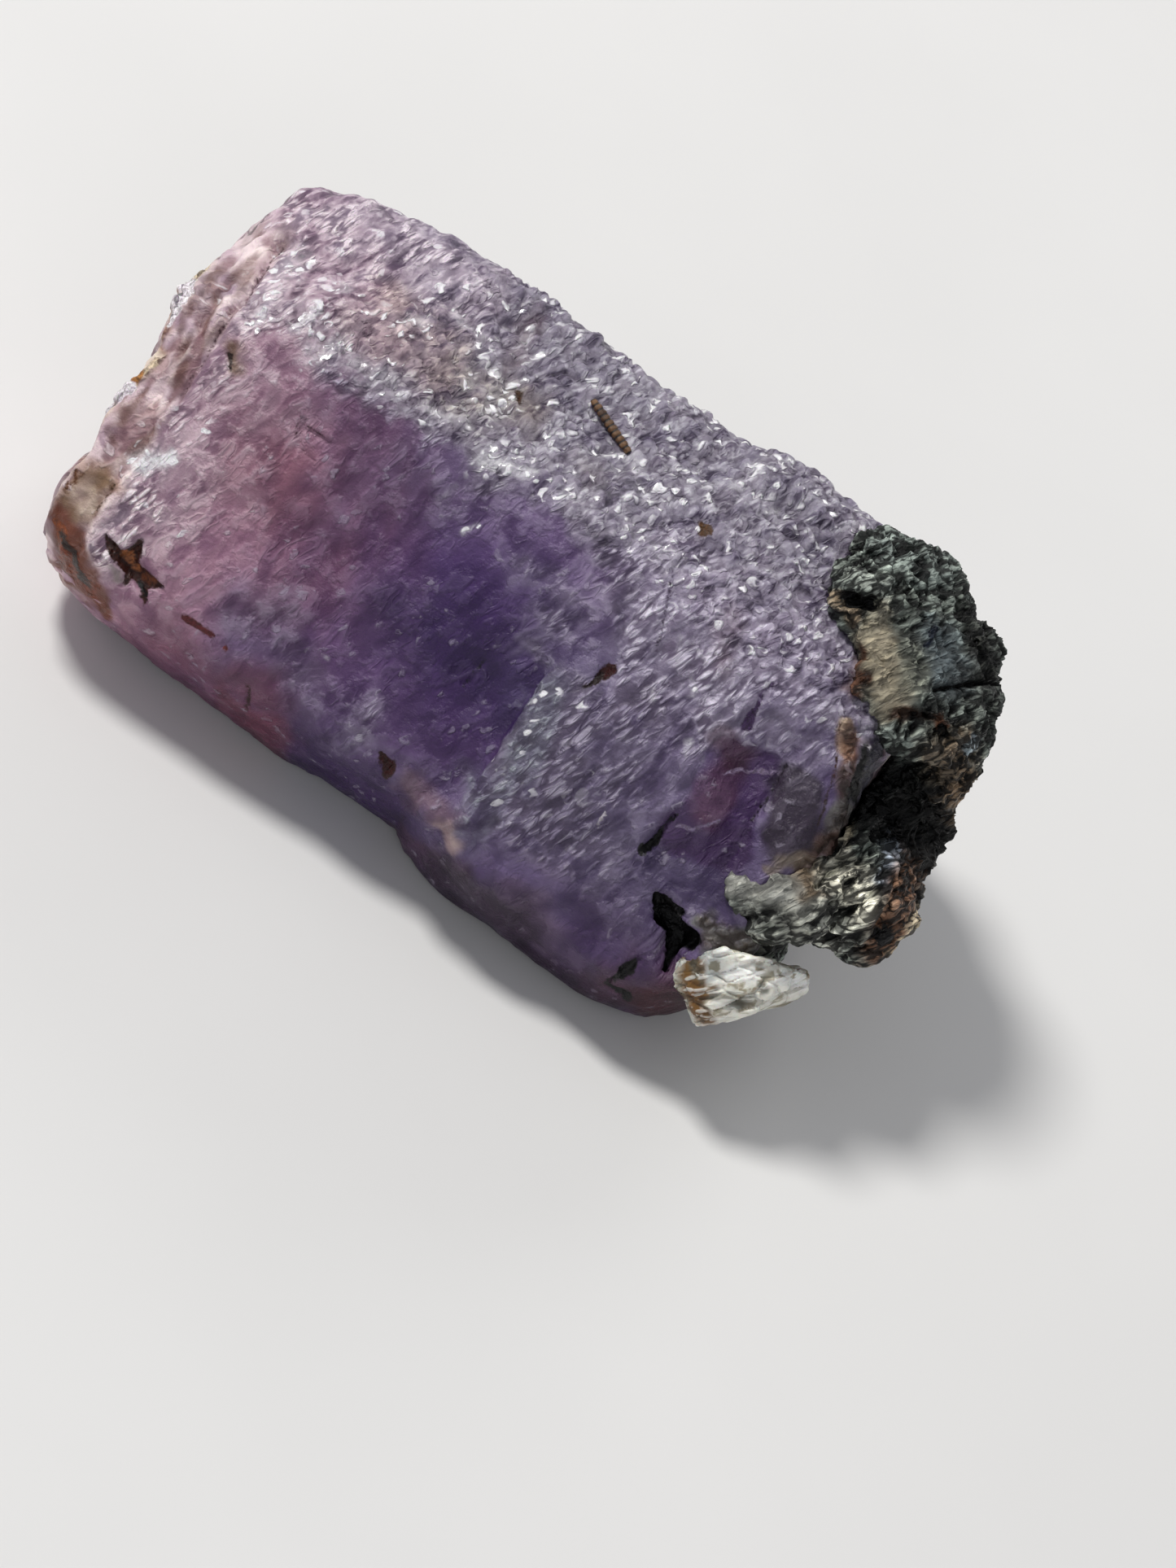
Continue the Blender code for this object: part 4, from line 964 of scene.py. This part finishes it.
def sapphire_material(looks):
    """Violet, zoned along the prism, frosted in places, with its stains and inclusions, and with painted
    light and shade on its relief.
    """
    made = Surface("Sapphire")
    tree = made.tree
    frost, relief, pebbly = made.read("frost"), made.read("relief"), made.read("pebbly")
    wrap, frosting, shine = made.read("wrap", "Vector"), made.read("veil", "Color"), made.read("shine")
    folds = use(tree, wrinkles_group, Place=wrap, Length=looks.scale_length, Width=looks.scale_width)
    pebbles = use(tree, scales_group, Place=wrap, Lean=1.1, Length=0.34, Width=0.24, Bend=0.6)
    grit = use(tree, grit_group, Place=made.place, Fineness=6.0)
    fine = between(tree, grit["Height"], 0.3, 0.7)
    clusters = between(tree, grit["Mottle"], 0.25, 0.75, 0.25, 1.0)
    specks = times(tree, between(tree, pebbles["Chance"], 0.7, 0.76),
                   between(tree, pebbles["Height"], 0.3, 0.75))
    specks = times(tree, specks, between(tree, grit["Mottle"], 0.45, 0.75))
    height = times(tree, folds["Height"], clusters)
    height = sums(tree, "MAXIMUM", times(tree, height, 0.8), specks)
    scales = use(tree, scales_group, Place=wrap, Length=0.4, Width=0.14, Bend=0.7)
    scaly = times(tree, between(tree, frost, 0.3, 0.6), clusters)
    height = mix_values(tree, scaly, height, scales["Height"])
    height = mix_values(tree, pebbly, height, sums(tree, "MAXIMUM", pebbles["Height"],
                                                   times(tree, folds["Height"], 0.45)))
    chance = mix_values(tree, pebbly, folds["Swell"], pebbles["Chance"])

    colour = made.read("tint", "Color")
    cloud = scaled(tree, grit["Mottle"], 0.45, times(tree, folds["Swell"], 0.55))
    colour = mix(tree, cloud, tone(tree, 0.75, colour, (0.45, 0.32, 0.55)),
                 tone(tree, 1.0, colour, (1.25, 1.25, 1.25)))
    ground = times(tree, times(tree, frost, 0.75), between(tree, cloud, 0.1, 0.9, 0.2, 1.0))
    colour = mix(tree, ground, colour, frosting)
    veil = times(tree, height, scaled(tree, frost, 0.85, 0.06))
    colour = mix(tree, times(tree, veil, between(tree, fine, 0.0, 1.0, 0.5, 1.0)), colour, frosting)
    colour = mix(tree, times(tree, specks, between(tree, fine, 0.0, 1.0, 0.1, 0.4)), colour, frosting)
    # Painted light on the relief: scale tips are painted lighter as highlights, and the gaps between scales,
    # the hollows of the fine relief and the low places of the mesh's relief are painted darker as shade.
    painted_tip_highlight = times(tree, scaly, between(tree, scales["Height"], 0.45, 0.85, 0.0, 0.55))
    colour = mix(tree, painted_tip_highlight, colour, tone(tree, 1.0, frosting, (1.3, 1.3, 1.3)))
    painted_gap_shade = times(tree, scaly, between(tree, scales["Height"], 0.32, 0.08, 0.0, 0.58))
    colour = tone(tree, painted_gap_shade, colour, (0.4, 0.34, 0.42))
    tiles = times(tree, sums(tree, "SUBTRACT", 1.0, chance), times(tree, pebbly, 0.85))
    colour = tone(tree, tiles, colour, (0.42, 0.38, 0.45))
    painted_hollow_shade = times(tree, between(tree, height, 0.32, 0.0), scaled(tree, frost, 0.75, 0.1))
    colour = tone(tree, painted_hollow_shade, colour, (0.24, 0.19, 0.28))
    painted_relief_shade = times(tree, between(tree, relief, 0.3, 0.0), times(tree, frost, 0.55))
    colour = tone(tree, painted_relief_shade, colour, (0.42, 0.38, 0.44))
    crust = made.read("crust")
    colour = tone(tree, times(tree, crust, fine), colour, (0.4, 0.32, 0.26))
    # On the crust, the gaps between grains are painted darker as shade and the grain tops lighter as painted
    # highlights, more on some grains than on others.
    grains = times(tree, crust, between(tree, pebbles["Height"], 0.3, 0.0))
    colour = tone(tree, grains, colour, (0.25, 0.2, 0.18))
    lumps = times(tree, crust, times(tree, pebbles["Chance"], pebbles["Height"]))
    colour = tone(tree, lumps, colour, (1.7, 1.7, 1.7))
    # Painted highlights: grain tops and the shining places are painted near white in the colour, and the
    # same mask gives them a clear coat.
    often = scaled(tree, shine, 0.6, times(tree, pebbles["Chance"], 0.55))
    often = scaled(tree, frost, 0.12, scaled(tree, pebbly, 0.16, often))
    crowned = between(tree, pebbles["Height"], 0.45, 0.85)
    painted_highlight = times(tree, between(tree, often, 0.55, 0.8), crowned)
    lit = times(tree, sums(tree, "POWER", shine, 3.0), scaled(tree, crowned, 0.35, 0.4))
    glint_paint_and_coat = scaled(tree, painted_highlight, 0.95, times(tree, lit, between(tree, fine, 0.0, 1.0, 0.5, 1.0)))
    colour = mix(tree, sums(tree, "MINIMUM", glint_paint_and_coat, 1.0), colour, srgb(253, 251, 255))
    colour = made.marked(colour)

    rough = scaled(tree, grit["Height"], 0.2, looks.roughness)
    made.shine(sums(tree, "MINIMUM", glint_paint_and_coat, 1.0))
    strength = between(tree, sums(tree, "MAXIMUM", frost, crust), 0.0, 0.9, 0.45, 1.0)
    relief = mix_values(tree, crust, height, pebbles["Height"])
    bump = scaled(tree, relief, strength, times(tree, grit["Height"], 0.5))
    return made.finish(colour, rough, bump, 0.12, IOR=1.77, Specular_IOR_Level=0.18,
                       Subsurface_Weight=0.15, Subsurface_Scale=0.7 * MM, Subsurface_Radius=(1.0, 0.6, 1.2))


class OBJECT_OT_sapphire_body(bpy.types.Operator):
    """Builds the sapphire itself: the worn, frosted and striated violet prism"""
    bl_idname = "object.sapphire_body"
    bl_label = "Sapphire"

    def execute(self, context):
        looks = context.scene.sapphire_looks
        piece = fine_copy("sapphire_body", "sapphire_crystal", looks.fineness, 14, far_share=0.18)
        worn = piece.vertex_groups.new(name="worn end")
        share = ease(points_of(piece)[:, 0], -8.0, -9.4)
        for index in np.flatnonzero(share > 0.02):
            worn.add([int(index)], share[index], "REPLACE")
        apply_modifier(piece, "SMOOTH", factor=0.5, iterations=END_EASING, vertex_group="worn end")
        piece.vertex_groups.clear()
        places = places_on_crystal(piece, looks)
        shape_crystal(piece, places)
        paint_crystal(piece, places, looks)
        hand_over(piece, sapphire_material(looks), "sapphire", "sapphire_crystal")
        return {"FINISHED"}


# The needle of brown mineral in the top face

NEEDLE_RADIUS = 0.13
BEADS = 10


class OBJECT_OT_brown_needle(bpy.types.Operator):
    """Builds the segmented brown needle that lies in the crystal's top face"""
    bl_idname = "object.brown_needle"
    bl_label = "Brown needle"

    def execute(self, context):
        host = bpy.data.objects["sapphire_body"]
        ends = []
        for u, v in NEEDLE_ENDS:
            start = from_view(u, v, OUTSIDE) * MM
            hit, place, _, _ = host.ray_cast(start, Vector(-TO_VIEWER))
            if not hit:
                raise RuntimeError("the needle lies off the crystal")
            ends.append(place)
        run = ends[1] - ends[0]
        bpy.ops.object.select_all(action="DESELECT")
        bpy.ops.mesh.primitive_cylinder_add(vertices=24, radius=NEEDLE_RADIUS * MM, depth=run.length)
        piece = context.active_object
        piece.name = piece.data.name = "brown_needle"
        bpy.ops.object.mode_set(mode="EDIT")
        bpy.ops.mesh.select_all(action="SELECT")
        bpy.ops.mesh.subdivide(number_cuts=5)
        bpy.ops.object.mode_set(mode="OBJECT")
        apply_modifier(piece, "REMESH", mode="VOXEL", voxel_size=0.018 * MM)
        points = points_of(piece) / MM
        length = run.length / MM
        share = points[:, 2] / length + 0.5
        joints = abs(np.cos(share * BEADS * math.pi))
        taper = 1 - 0.35 * abs(2 * share - 1) ** 4
        points[:, :2] *= ((1 - 0.16 * joints ** 3) * taper * (1 + 0.12 * ripple(points, 0.12, 2)))[:, None]
        points[:, 1] *= 0.75
        keep(piece, "bead", joints)
        set_points(piece, points * MM)
        turn = run.to_track_quat("Z", "Y").to_matrix().to_4x4()
        middle = (ends[0] + ends[1]) / 2 + Vector(TO_VIEWER) * 0.03 * MM
        piece.data.transform(Matrix.Translation(middle) @ turn)

        made = Surface("Brown_needle")
        tree = made.tree
        grit = use(tree, grit_group, Place=made.place, Fineness=16.0)
        colour = mix(tree, grit["Mottle"], srgb(118, 84, 52), srgb(62, 38, 22))
        colour = mix(tree, between(tree, made.read("bead"), 0.75, 1.0), colour, srgb(20, 11, 7))
        rough = scaled(tree, grit["Height"], 0.3, 0.3)
        piece.data.materials.append(made.finish(colour, rough, grit["Height"], 0.03))
        bpy.ops.object.shade_smooth()
        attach(piece, "root")
        piece.select_set(False)
        return {"FINISHED"}


# The host rock

ROCK_CLEARANCE = 0.05     # how far the rock stays off the floor
# Holes, cracks and the dark pocket: from and to (u, v), radius, depth
ROCK_HOLES = [
    ((6.25, 4.1), (6.4, 4.12), 0.2, 0.35), ((6.55, 4.22), (6.72, 4.28), 0.22, 0.35),
    ((9.3, 0.9), (10.8, 0.75), 0.6, 0.4), ((9.55, 4.0), (10.3, 4.45), 0.09, 0.22),
    ((9.0, 3.45), (9.6, 4.0), 0.09, 0.18), ((8.55, 2.55), (9.4, 2.9), 0.08, 0.12),
    ((6.0, 5.2), (6.9, 6.0), 0.14, 0.18), ((6.2, 5.9), (5.7, 5.0), 0.1, 0.14),
    ((9.4, -1.1), (9.0, -2.1), 0.09, 0.14), ((10.4, -1.0), (9.9, -2.4), 0.09, 0.14),
    ((10.6, -0.3), (10.9, -2.0), 0.1, 0.16), ((8.0, 5.9), (8.6, 5.3), 0.12, 0.16),
    ((7.2, 5.2), (7.9, 4.9), 0.1, 0.14), ((9.2, 5.0), (9.9, 4.3), 0.12, 0.16),
    ((6.9, 4.9), (6.6, 5.6), 0.09, 0.12)]
# Places without strands or grains: from and to, radius, amount
SMOOTH_PATCHES = [((7.3, 3.6), (8.2, 2.7), 0.6, 1.0), ((7.6, -2.6), (8.6, -2.1), 0.6, 1.0),
                  ((8.3, 4.3), (9.0, 3.9), 0.6, 0.7)]
# Soft colours: from and to, radius or radii, softness, colour, strength
ROCK_COLOURS = [
    ((6.0, 4.55), (6.9, 4.7), 0.2, 0.6, srgb(150, 156, 150), 0.8),
    ((5.9, 3.95), (6.6, 3.8), 0.16, 0.6, srgb(138, 120, 100), 0.85),
    ((6.3, 5.7), (7.6, 5.8), 0.5, 0.6, srgb(128, 138, 136), 0.5),
    ((8.4, 4.3), (9.1, 3.9), 0.55, 0.5, srgb(92, 102, 108), 0.8),
    ((6.95, 4.25), (7.25, 3.6), 0.28, 0.5, srgb(150, 144, 128), 0.85),
    ((7.35, 3.5), (8.15, 2.7), 0.5, 0.5, srgb(158, 148, 128), 0.9),
    ((8.0, 3.9), (8.5, 3.3), 0.35, 0.7, srgb(112, 114, 104), 0.8),
    ((8.9, 5.2), (9.8, 4.5), 0.4, 0.5, srgb(26, 24, 22), 0.85),
    ((9.6, 4.2), (10.3, 3.4), 0.5, 0.6, srgb(44, 44, 42), 0.6),
    ((10.0, 2.4), (11.0, 1.6), 0.6, 0.6, srgb(124, 100, 78), 0.8),
    ((9.6, 2.7), (10.1, 2.0), 0.4, 0.6, srgb(56, 56, 52), 0.6),
    ((10.35, 2.95), (10.35, 2.75), 0.14, 0.4, srgb(150, 162, 170), 0.9),
    ((7.15, 3.3), (7.5, 2.3), (0.1, 0.16), 0.6, srgb(72, 36, 18), 0.9),
    ((8.5, 2.5), (9.5, 2.9), (0.16, 0.1), 0.6, srgb(66, 36, 20), 0.9),
    ((7.8, 1.55), (8.35, 1.0), 0.26, 0.5, srgb(190, 160, 104), 0.9),
    ((8.35, 0.7), (8.95, -0.6), 0.3, 0.5, srgb(118, 102, 74), 0.9),
    ((8.6, 1.5), (8.9, 0.9), 0.3, 0.5, srgb(44, 52, 64), 0.9),
    ((8.9, -0.9), (9.2, -2.0), 0.5, 0.6, srgb(136, 134, 126), 0.7),
    ((7.5, -2.6), (8.7, -2.1), 0.55, 0.5, srgb(166, 166, 160), 0.9),
    ((8.8, -1.6), (9.0, -1.9), 0.3, 0.6, srgb(120, 98, 74), 0.8),
    ((9.5, -1.2), (10.3, -1.6), 0.45, 0.6, srgb(226, 222, 206), 0.85),
    ((9.2, -2.7), (10.0, -2.6), 0.5, 0.6, srgb(176, 176, 168), 0.8),
    ((8.2, -3.1), (8.9, -3.4), 0.4, 0.6, srgb(140, 142, 136), 0.8),
    ((10.1, 0.1), (10.35, -0.8), 0.28, 0.6, srgb(124, 132, 146), 0.85),
    ((10.8, 0.1), (11.2, -2.2), 0.45, 0.6, srgb(104, 68, 46), 0.85),
    ((10.85, -0.1), (10.95, -0.35), 0.13, 0.6, srgb(176, 140, 116), 0.85),
    ((11.5, -0.8), (11.6, -2.0), 0.16, 0.6, srgb(190, 174, 148), 0.85),
    # The pocket between the crown and the wedge is painted near black: painted shade in its deep hollow.
    ((9.3, 1.1), (11.0, 0.6), 0.75, 0.35, srgb(4, 4, 4), 0.98),
    ((9.1, 0.5), (9.6, 0.2), 0.45, 0.4, srgb(4, 4, 4), 0.98)]
# Crisp marks: from and to, radius or radii, colour
ROCK_MARKS = [(start, end, radius * 0.9, BLACK) for start, end, radius, _ in ROCK_HOLES[:2]]
ROCK_MARKS += [(start, end, 0.05, BLACK) for start, end, _, _ in ROCK_HOLES[3:5]]
ROCK_MARKS += [
    ((8.2, 4.55), (8.3, 4.15), (0.13, 0.07), srgb(22, 30, 44)),
    ((11.1, -1.75), (11.15, -1.95), 0.16, BLACK)]


def shape_rock(piece, looks):
    """Works winding strands, fibres, seams, a hole and cracks into the host rock and colours it, with
    painted light and shade on its relief.
    """
    points, normals = points_of(piece), normals_of(piece)
    view = to_view(points)
    seen = normals @ TO_VIEWER > 0.03
    wander = np.stack([ripple(points, 0.7, seed) for seed in (1, 2, 3)], axis=1)
    bent = view + 0.22 * wander
    along, across = leaning(bent[:, 0], bent[:, 1], FIBRE_LEAN)
    fibres = np.stack((along * 0.3, across, bent[:, 2] * 0.5), axis=1)
    wedge = ease(view[:, 1] + 0.3 * wander[:, 0], 0.9, 0.2)
    thick, thin = looks.grain * 2.0, looks.grain * 0.9
    strands, strokes = (np.maximum(wrinkles(places, thick, 4), 0.7 * wrinkles(places, thin, 7))
                        for places in (bent, fibres))
    crests = strands * (1 - wedge) + strokes * wedge
    chance = cells(np.where(wedge[:, None] > 0.5, fibres + 40, bent) / (1.7 * looks.grain))[2]
    smooth = np.maximum.reduce([amount * patch(view, start, end, radius, 0.6)
                                for start, end, radius, amount in SMOOTH_PATCHES])
    rise = (0.2 * (crests - 0.45) + 0.08 * (chance - 0.5)) * (1 - 0.7 * smooth)
    rise += 0.04 * ripple(points, 0.16, 5) + 0.08 * ripple(points, 1.0, 6)
    rise -= dent(drifted(points, view, 0.4, 0.06), ROCK_HOLES) * seen
    points += normals * rise[:, None]
    points[:, 2] = np.maximum(points[:, 2], ROCK_CLEARANCE)
    set_points(piece, points)

    # Painted light and shade on the relief: the strands are painted lighter on their crests and darker in
    # their troughs, and the colour patches laid over them follow the same light factor.
    tint = np.array(looks.green_grey) * (0.05 + 1.12 * crests ** 1.5 * (0.4 + 0.9 * chance))[:, None]
    light = 0.86 * (0.3 + 0.7 * crests + 0.5 * (chance - 0.5))[:, None]
    light = np.maximum(light, 0.75 * smooth[:, None])
    uneven = drifted(points, view, 0.4, 0.2)
    for start, end, radius, softness, colour, strength in ROCK_COLOURS:
        mask = strength * patch(uneven, start, end, radius, softness)[:, None]
        tint += mask * (np.array(colour) * light - tint)
    keep_colour(piece, "tint", tint)
    # The seams in the troughs are painted near black as shade.
    keep(piece, "seam", ease(crests + 0.2 * chance, 0.42, 0.12) * (1 - 0.8 * smooth))
    keep(piece, "smooth", smooth)
    crisp_marks(piece, points, view, seen, ROCK_MARKS)


def rock_material(looks):
    """Green-grey strands with black seams, cream and rust patches and a dark pocket, with painted highlights
    and glints on the strands and painted shade in their troughs, seams and pocket.
    """
    made = Surface("Host_rock")
    tree = made.tree
    rough_part = scaled(tree, made.read("smooth"), -0.65, 1.0)
    grit = use(tree, grit_group, Place=made.place, Fineness=9.0)
    folds = use(tree, wrinkles_group, Place=made.place, Lean=1.0, Length=0.55, Width=0.22)
    colour = made.read("tint", "Color")
    colour = tone(tree, times(tree, grit["Mottle"], 0.3), colour, (0.5, 0.5, 0.47))
    # Painted light on the relief: fold crests are painted lighter as highlights, fold troughs and the gaps
    # between lumps darker as shade, and the tops of some lumps bright as glints.
    painted_highlight = times(tree, folds["Height"], scaled(tree, rough_part, 0.6, 0.15))
    colour = tone(tree, painted_highlight, colour, (2.4, 2.4, 2.35))
    painted_trough_shade = times(tree, between(tree, folds["Height"], 0.15, 0.0), rough_part)
    colour = tone(tree, times(tree, painted_trough_shade, 0.7), colour, (0.25, 0.25, 0.25))
    lumps = use(tree, scales_group, Place=made.place, Lean=1.0, Length=0.5, Width=0.17, Bend=0.6)
    painted_gap_shade = times(tree, between(tree, lumps["Height"], 0.35, 0.05), rough_part)
    colour = tone(tree, painted_gap_shade, colour, (0.12, 0.12, 0.12))
    painted_grain_glints = times(tree, times(tree, lumps["Chance"], lumps["Height"]), rough_part)
    colour = tone(tree, painted_grain_glints, colour, (3.0, 3.0, 2.9))
    # The seams are painted near black as shade.
    colour = mix(tree, times(tree, made.read("seam"), 0.95), colour, tuple(looks.seam))
    colour = made.marked(colour)
    rough = scaled(tree, grit["Height"], 0.35, 0.3)
    bump = scaled(tree, folds["Height"], 0.5, times(tree, grit["Height"], 0.5))
    bump = scaled(tree, lumps["Height"], 0.8, bump)
    return made.finish(colour, rough, bump, 0.1, Specular_IOR_Level=0.22)


class OBJECT_OT_host_rock_crust(bpy.types.Operator):
    """Builds the granular host rock on the crystal's broken end"""
    bl_idname = "object.host_rock_crust"
    bl_label = "Host rock"

    def execute(self, context):
        looks = context.scene.rock_looks
        piece = fine_copy("host_rock_crust", "host_rock", looks.fineness, 5)
        shape_rock(piece, looks)
        hand_over(piece, rock_material(looks), "host_rock", "host_rock")
        return {"FINISHED"}


# The feldspar chip

# Soft colours: from and to (u, v), radius, softness, colour or its name in the looks, strength
CHIP_COLOURS = [
    ((7.7, -4.1), (8.1, -4.7), 0.35, 0.5, srgb(176, 180, 178), 0.9),
    ((7.8, -4.9), (8.2, -5.3), 0.3, 0.5, "stain", 1.0), ((8.45, -5.0), (8.3, -5.5), 0.1, 0.6, "stain", 0.9),
    ((7.65, -4.6), (8.0, -5.3), 0.12, 0.6, "stain", 0.8),
    ((8.3, -5.55), (8.9, -5.75), 0.16, 0.6, "stain", 1.0),
    ((8.6, -5.1), (9.2, -4.9), 0.16, 0.7, srgb(72, 72, 60), 0.8),
    ((9.0, -3.95), (9.4, -4.35), 0.12, 0.7, srgb(90, 88, 76), 0.8),
    ((7.75, -4.75), (8.1, -5.0), 0.1, 0.7, srgb(96, 92, 78), 0.8),
    # The two near-white patches along the top are painted highlights.
    ((8.6, -4.5), (9.1, -4.15), 0.2, 0.6, srgb(252, 252, 246), 0.95),
    ((9.6, -3.95), (10.2, -3.75), 0.2, 0.6, srgb(252, 252, 246), 0.95)]


def shape_chip(piece, looks):
    """Works leaning cleavage steps into the chip and colours its rims."""
    points, normals = points_of(piece), normals_of(piece)
    view = to_view(points)
    along, across = leaning(view[:, 0] + 0.1 * ripple(points, 0.5, 2), view[:, 1], CHIP_LEAN)
    near, second, chance = cells(np.stack((along / 0.85, across / 0.34, view[:, 2] / 0.5), axis=1))
    rise = 0.12 * (chance - 0.5) * np.clip(1 - near ** 2, 0, 1) - 0.05 * ease(second - near, 0.12, 0)
    rise += 0.03 * ripple(points, 0.2, 1)
    points += normals * rise[:, None]
    set_points(piece, points)
    tint = np.array(looks.cream) * (0.68 + 0.7 * chance)[:, None]
    wash(tint, drifted(points, view, 0.3, 0.12), coloured(CHIP_COLOURS, looks))
    keep_colour(piece, "tint", tint)


def chip_material():
    """Cream-white feldspar, cleaved in leaning steps, with yellow-brown rims, painted shade between its
    steps and painted highlights on them.
    """
    made = Surface("Feldspar")
    tree = made.tree
    grit = use(tree, grit_group, Place=made.place, Fineness=9.0)
    scales = use(tree, scales_group, Place=made.place, Lean=CHIP_LEAN, Length=0.7, Width=0.2, Bend=0.5)
    colour = made.read("tint", "Color")
    # The low places between the cleavage steps are painted darker as shade, and the steps' tops lighter as
    # painted highlights.
    painted_step_shade = times(tree, between(tree, scales["Height"], 0.14, 0.0), between(tree, grit["Mottle"], 0.3, 0.7))
    colour = tone(tree, painted_step_shade, colour, (0.42, 0.38, 0.3))
    colour = mix(tree, times(tree, between(tree, scales["Height"], 0.3, 0.6), 0.5), colour,
                 srgb(246, 245, 238))
    rough = scaled(tree, grit["Height"], 0.3, 0.2)
    bump = scaled(tree, scales["Height"], 0.7, times(tree, grit["Height"], 0.4))
    return made.finish(colour, rough, bump, 0.05, Subsurface_Weight=0.15, Subsurface_Scale=0.4 * MM)


class OBJECT_OT_feldspar_flake(bpy.types.Operator):
    """Builds the pale chip of feldspar at the lower corner"""
    bl_idname = "object.feldspar_flake"
    bl_label = "Feldspar chip"

    def execute(self, context):
        looks = context.scene.chip_looks
        piece = fine_copy("feldspar_flake", "feldspar_chip", looks.fineness, 3)
        shape_chip(piece, looks)
        hand_over(piece, chip_material(), "feldspar", "feldspar_chip")
        return {"FINISHED"}


# The stage

LIT_PLACE = (0, 0, 0.005)            # what the lights face
VIEW_MIDDLE = (3.54, -2.64, 2.4)     # what the camera faces, and the middle of its view (u, v, w)


def area_light(name, place, target, size, power, colour):
    data = bpy.data.lights.new(name, "AREA")
    data.shape = "DISK"
    data.size = size
    data.energy = power
    data.color = colour
    light = bpy.data.objects.new(name, data)
    bpy.context.scene.collection.objects.link(light)
    light.location = place
    light.rotation_euler = (Vector(target) - Vector(place)).to_track_quat("-Z", "Y").to_euler()


class OBJECT_OT_crystal_stage(bpy.types.Operator):
    """Lays the floor, hangs the lights and sets the camera"""
    bl_idname = "object.crystal_stage"
    bl_label = "Stage"

    def execute(self, context):
        looks = context.scene.stage_looks
        bpy.ops.object.select_all(action="DESELECT")
        bpy.ops.mesh.primitive_plane_add(size=2.0, location=(0, 0, -0.00001))
        floor = context.active_object
        floor.name = floor.data.name = "floor"
        material = bpy.data.materials.new("Floor")
        material.use_nodes = True
        tree = material.node_tree
        place = tree.nodes.new("ShaderNodeTexCoord").outputs["Object"]
        mottle = node(tree, "ShaderNodeTexNoise", {"Vector": place, "Scale": 60.0, "Detail": 4.0}).outputs[0]
        shade = tuple(c * 0.97 for c in looks.floor)
        colour = mix(tree, between(tree, mottle, 0.3, 0.7), tuple(looks.floor), shade)
        tree.links.new(colour, tree.nodes["Principled BSDF"].inputs["Base Color"])
        tree.nodes["Principled BSDF"].inputs["Roughness"].default_value = 0.7
        floor.data.materials.append(material)

        world = bpy.data.worlds.new("Soft room")
        world.use_nodes = True
        world.node_tree.nodes["Background"].inputs["Color"].default_value = (0.93, 0.95, 1.0, 1.0)
        world.node_tree.nodes["Background"].inputs["Strength"].default_value = 0.3
        context.scene.world = world
        area_light("Key", (-0.17, 0.02, 0.27), LIT_PLACE, 0.07, looks.key_power, (1.0, 0.985, 0.96))
        area_light("Fill", (0.12, -0.32, 0.18), LIT_PLACE, 0.22, looks.fill_power, (0.94, 0.96, 1.0))
        area_light("Back", (0.06, 0.28, 0.16), LIT_PLACE, 0.14, looks.fill_power * 1.2, (1.0, 0.98, 0.97))

        data = bpy.data.cameras.new("Camera")
        data.lens = 120.0
        data.sensor_width = 36.0
        data.clip_start = 0.001
        camera = bpy.data.objects.new("Camera", data)
        context.scene.collection.objects.link(camera)
        along, up, back = Vector((1, 0, 0)), Vector((0, DIAGONAL, DIAGONAL)), Vector(TO_VIEWER)
        right = math.cos(looks.roll) * along + math.sin(looks.roll) * up
        top = math.cos(looks.roll) * up - math.sin(looks.roll) * along
        spot = from_view(*VIEW_MIDDLE) * MM + back * looks.distance
        turn = Matrix((right, top, back)).transposed().to_4x4()
        camera.matrix_world = Matrix.Translation(spot) @ turn
        context.scene.camera = camera
        context.scene.view_settings.view_transform = "Standard"
        return {"FINISHED"}


class VIEW3D_PT_rough_sapphire(bpy.types.Panel):
    """Lists the builders and their sizes and colours"""
    bl_label = "Rough sapphire"
    bl_idname = "VIEW3D_PT_rough_sapphire"
    bl_space_type = "VIEW_3D"
    bl_region_type = "UI"
    bl_category = "Sapphire"

    def draw(self, context):
        scene = context.scene
        for operator, looks in BUILDERS:
            box = self.layout.box()
            box.operator(operator.bl_idname)
            for name in LOOKS[looks].__annotations__ if looks else ():
                box.prop(getattr(scene, looks), name)


LOOKS = {"sapphire_looks": SapphireLooks, "rock_looks": RockLooks, "chip_looks": ChipLooks,
         "stage_looks": StageLooks}
BUILDERS = ((OBJECT_OT_sapphire_body, "sapphire_looks"), (OBJECT_OT_brown_needle, None),
            (OBJECT_OT_host_rock_crust, "rock_looks"), (OBJECT_OT_feldspar_flake, "chip_looks"),
            (OBJECT_OT_crystal_stage, "stage_looks"))


def register():
    for kind in (*LOOKS.values(), *(operator for operator, _ in BUILDERS), VIEW3D_PT_rough_sapphire):
        bpy.utils.register_class(kind)
    for name, kind in LOOKS.items():
        setattr(bpy.types.Scene, name, PointerProperty(type=kind))


def unregister():
    for name in LOOKS:
        delattr(bpy.types.Scene, name)
    for kind in (VIEW3D_PT_rough_sapphire, *(operator for operator, _ in BUILDERS), *LOOKS.values()):
        bpy.utils.unregister_class(kind)


def main():
    register()
    bpy.ops.object.sapphire_body()
    bpy.ops.object.brown_needle()
    bpy.ops.object.host_rock_crust()
    bpy.ops.object.feldspar_flake()
    bpy.ops.object.crystal_stage()


if __name__ == "__main__":
    main()
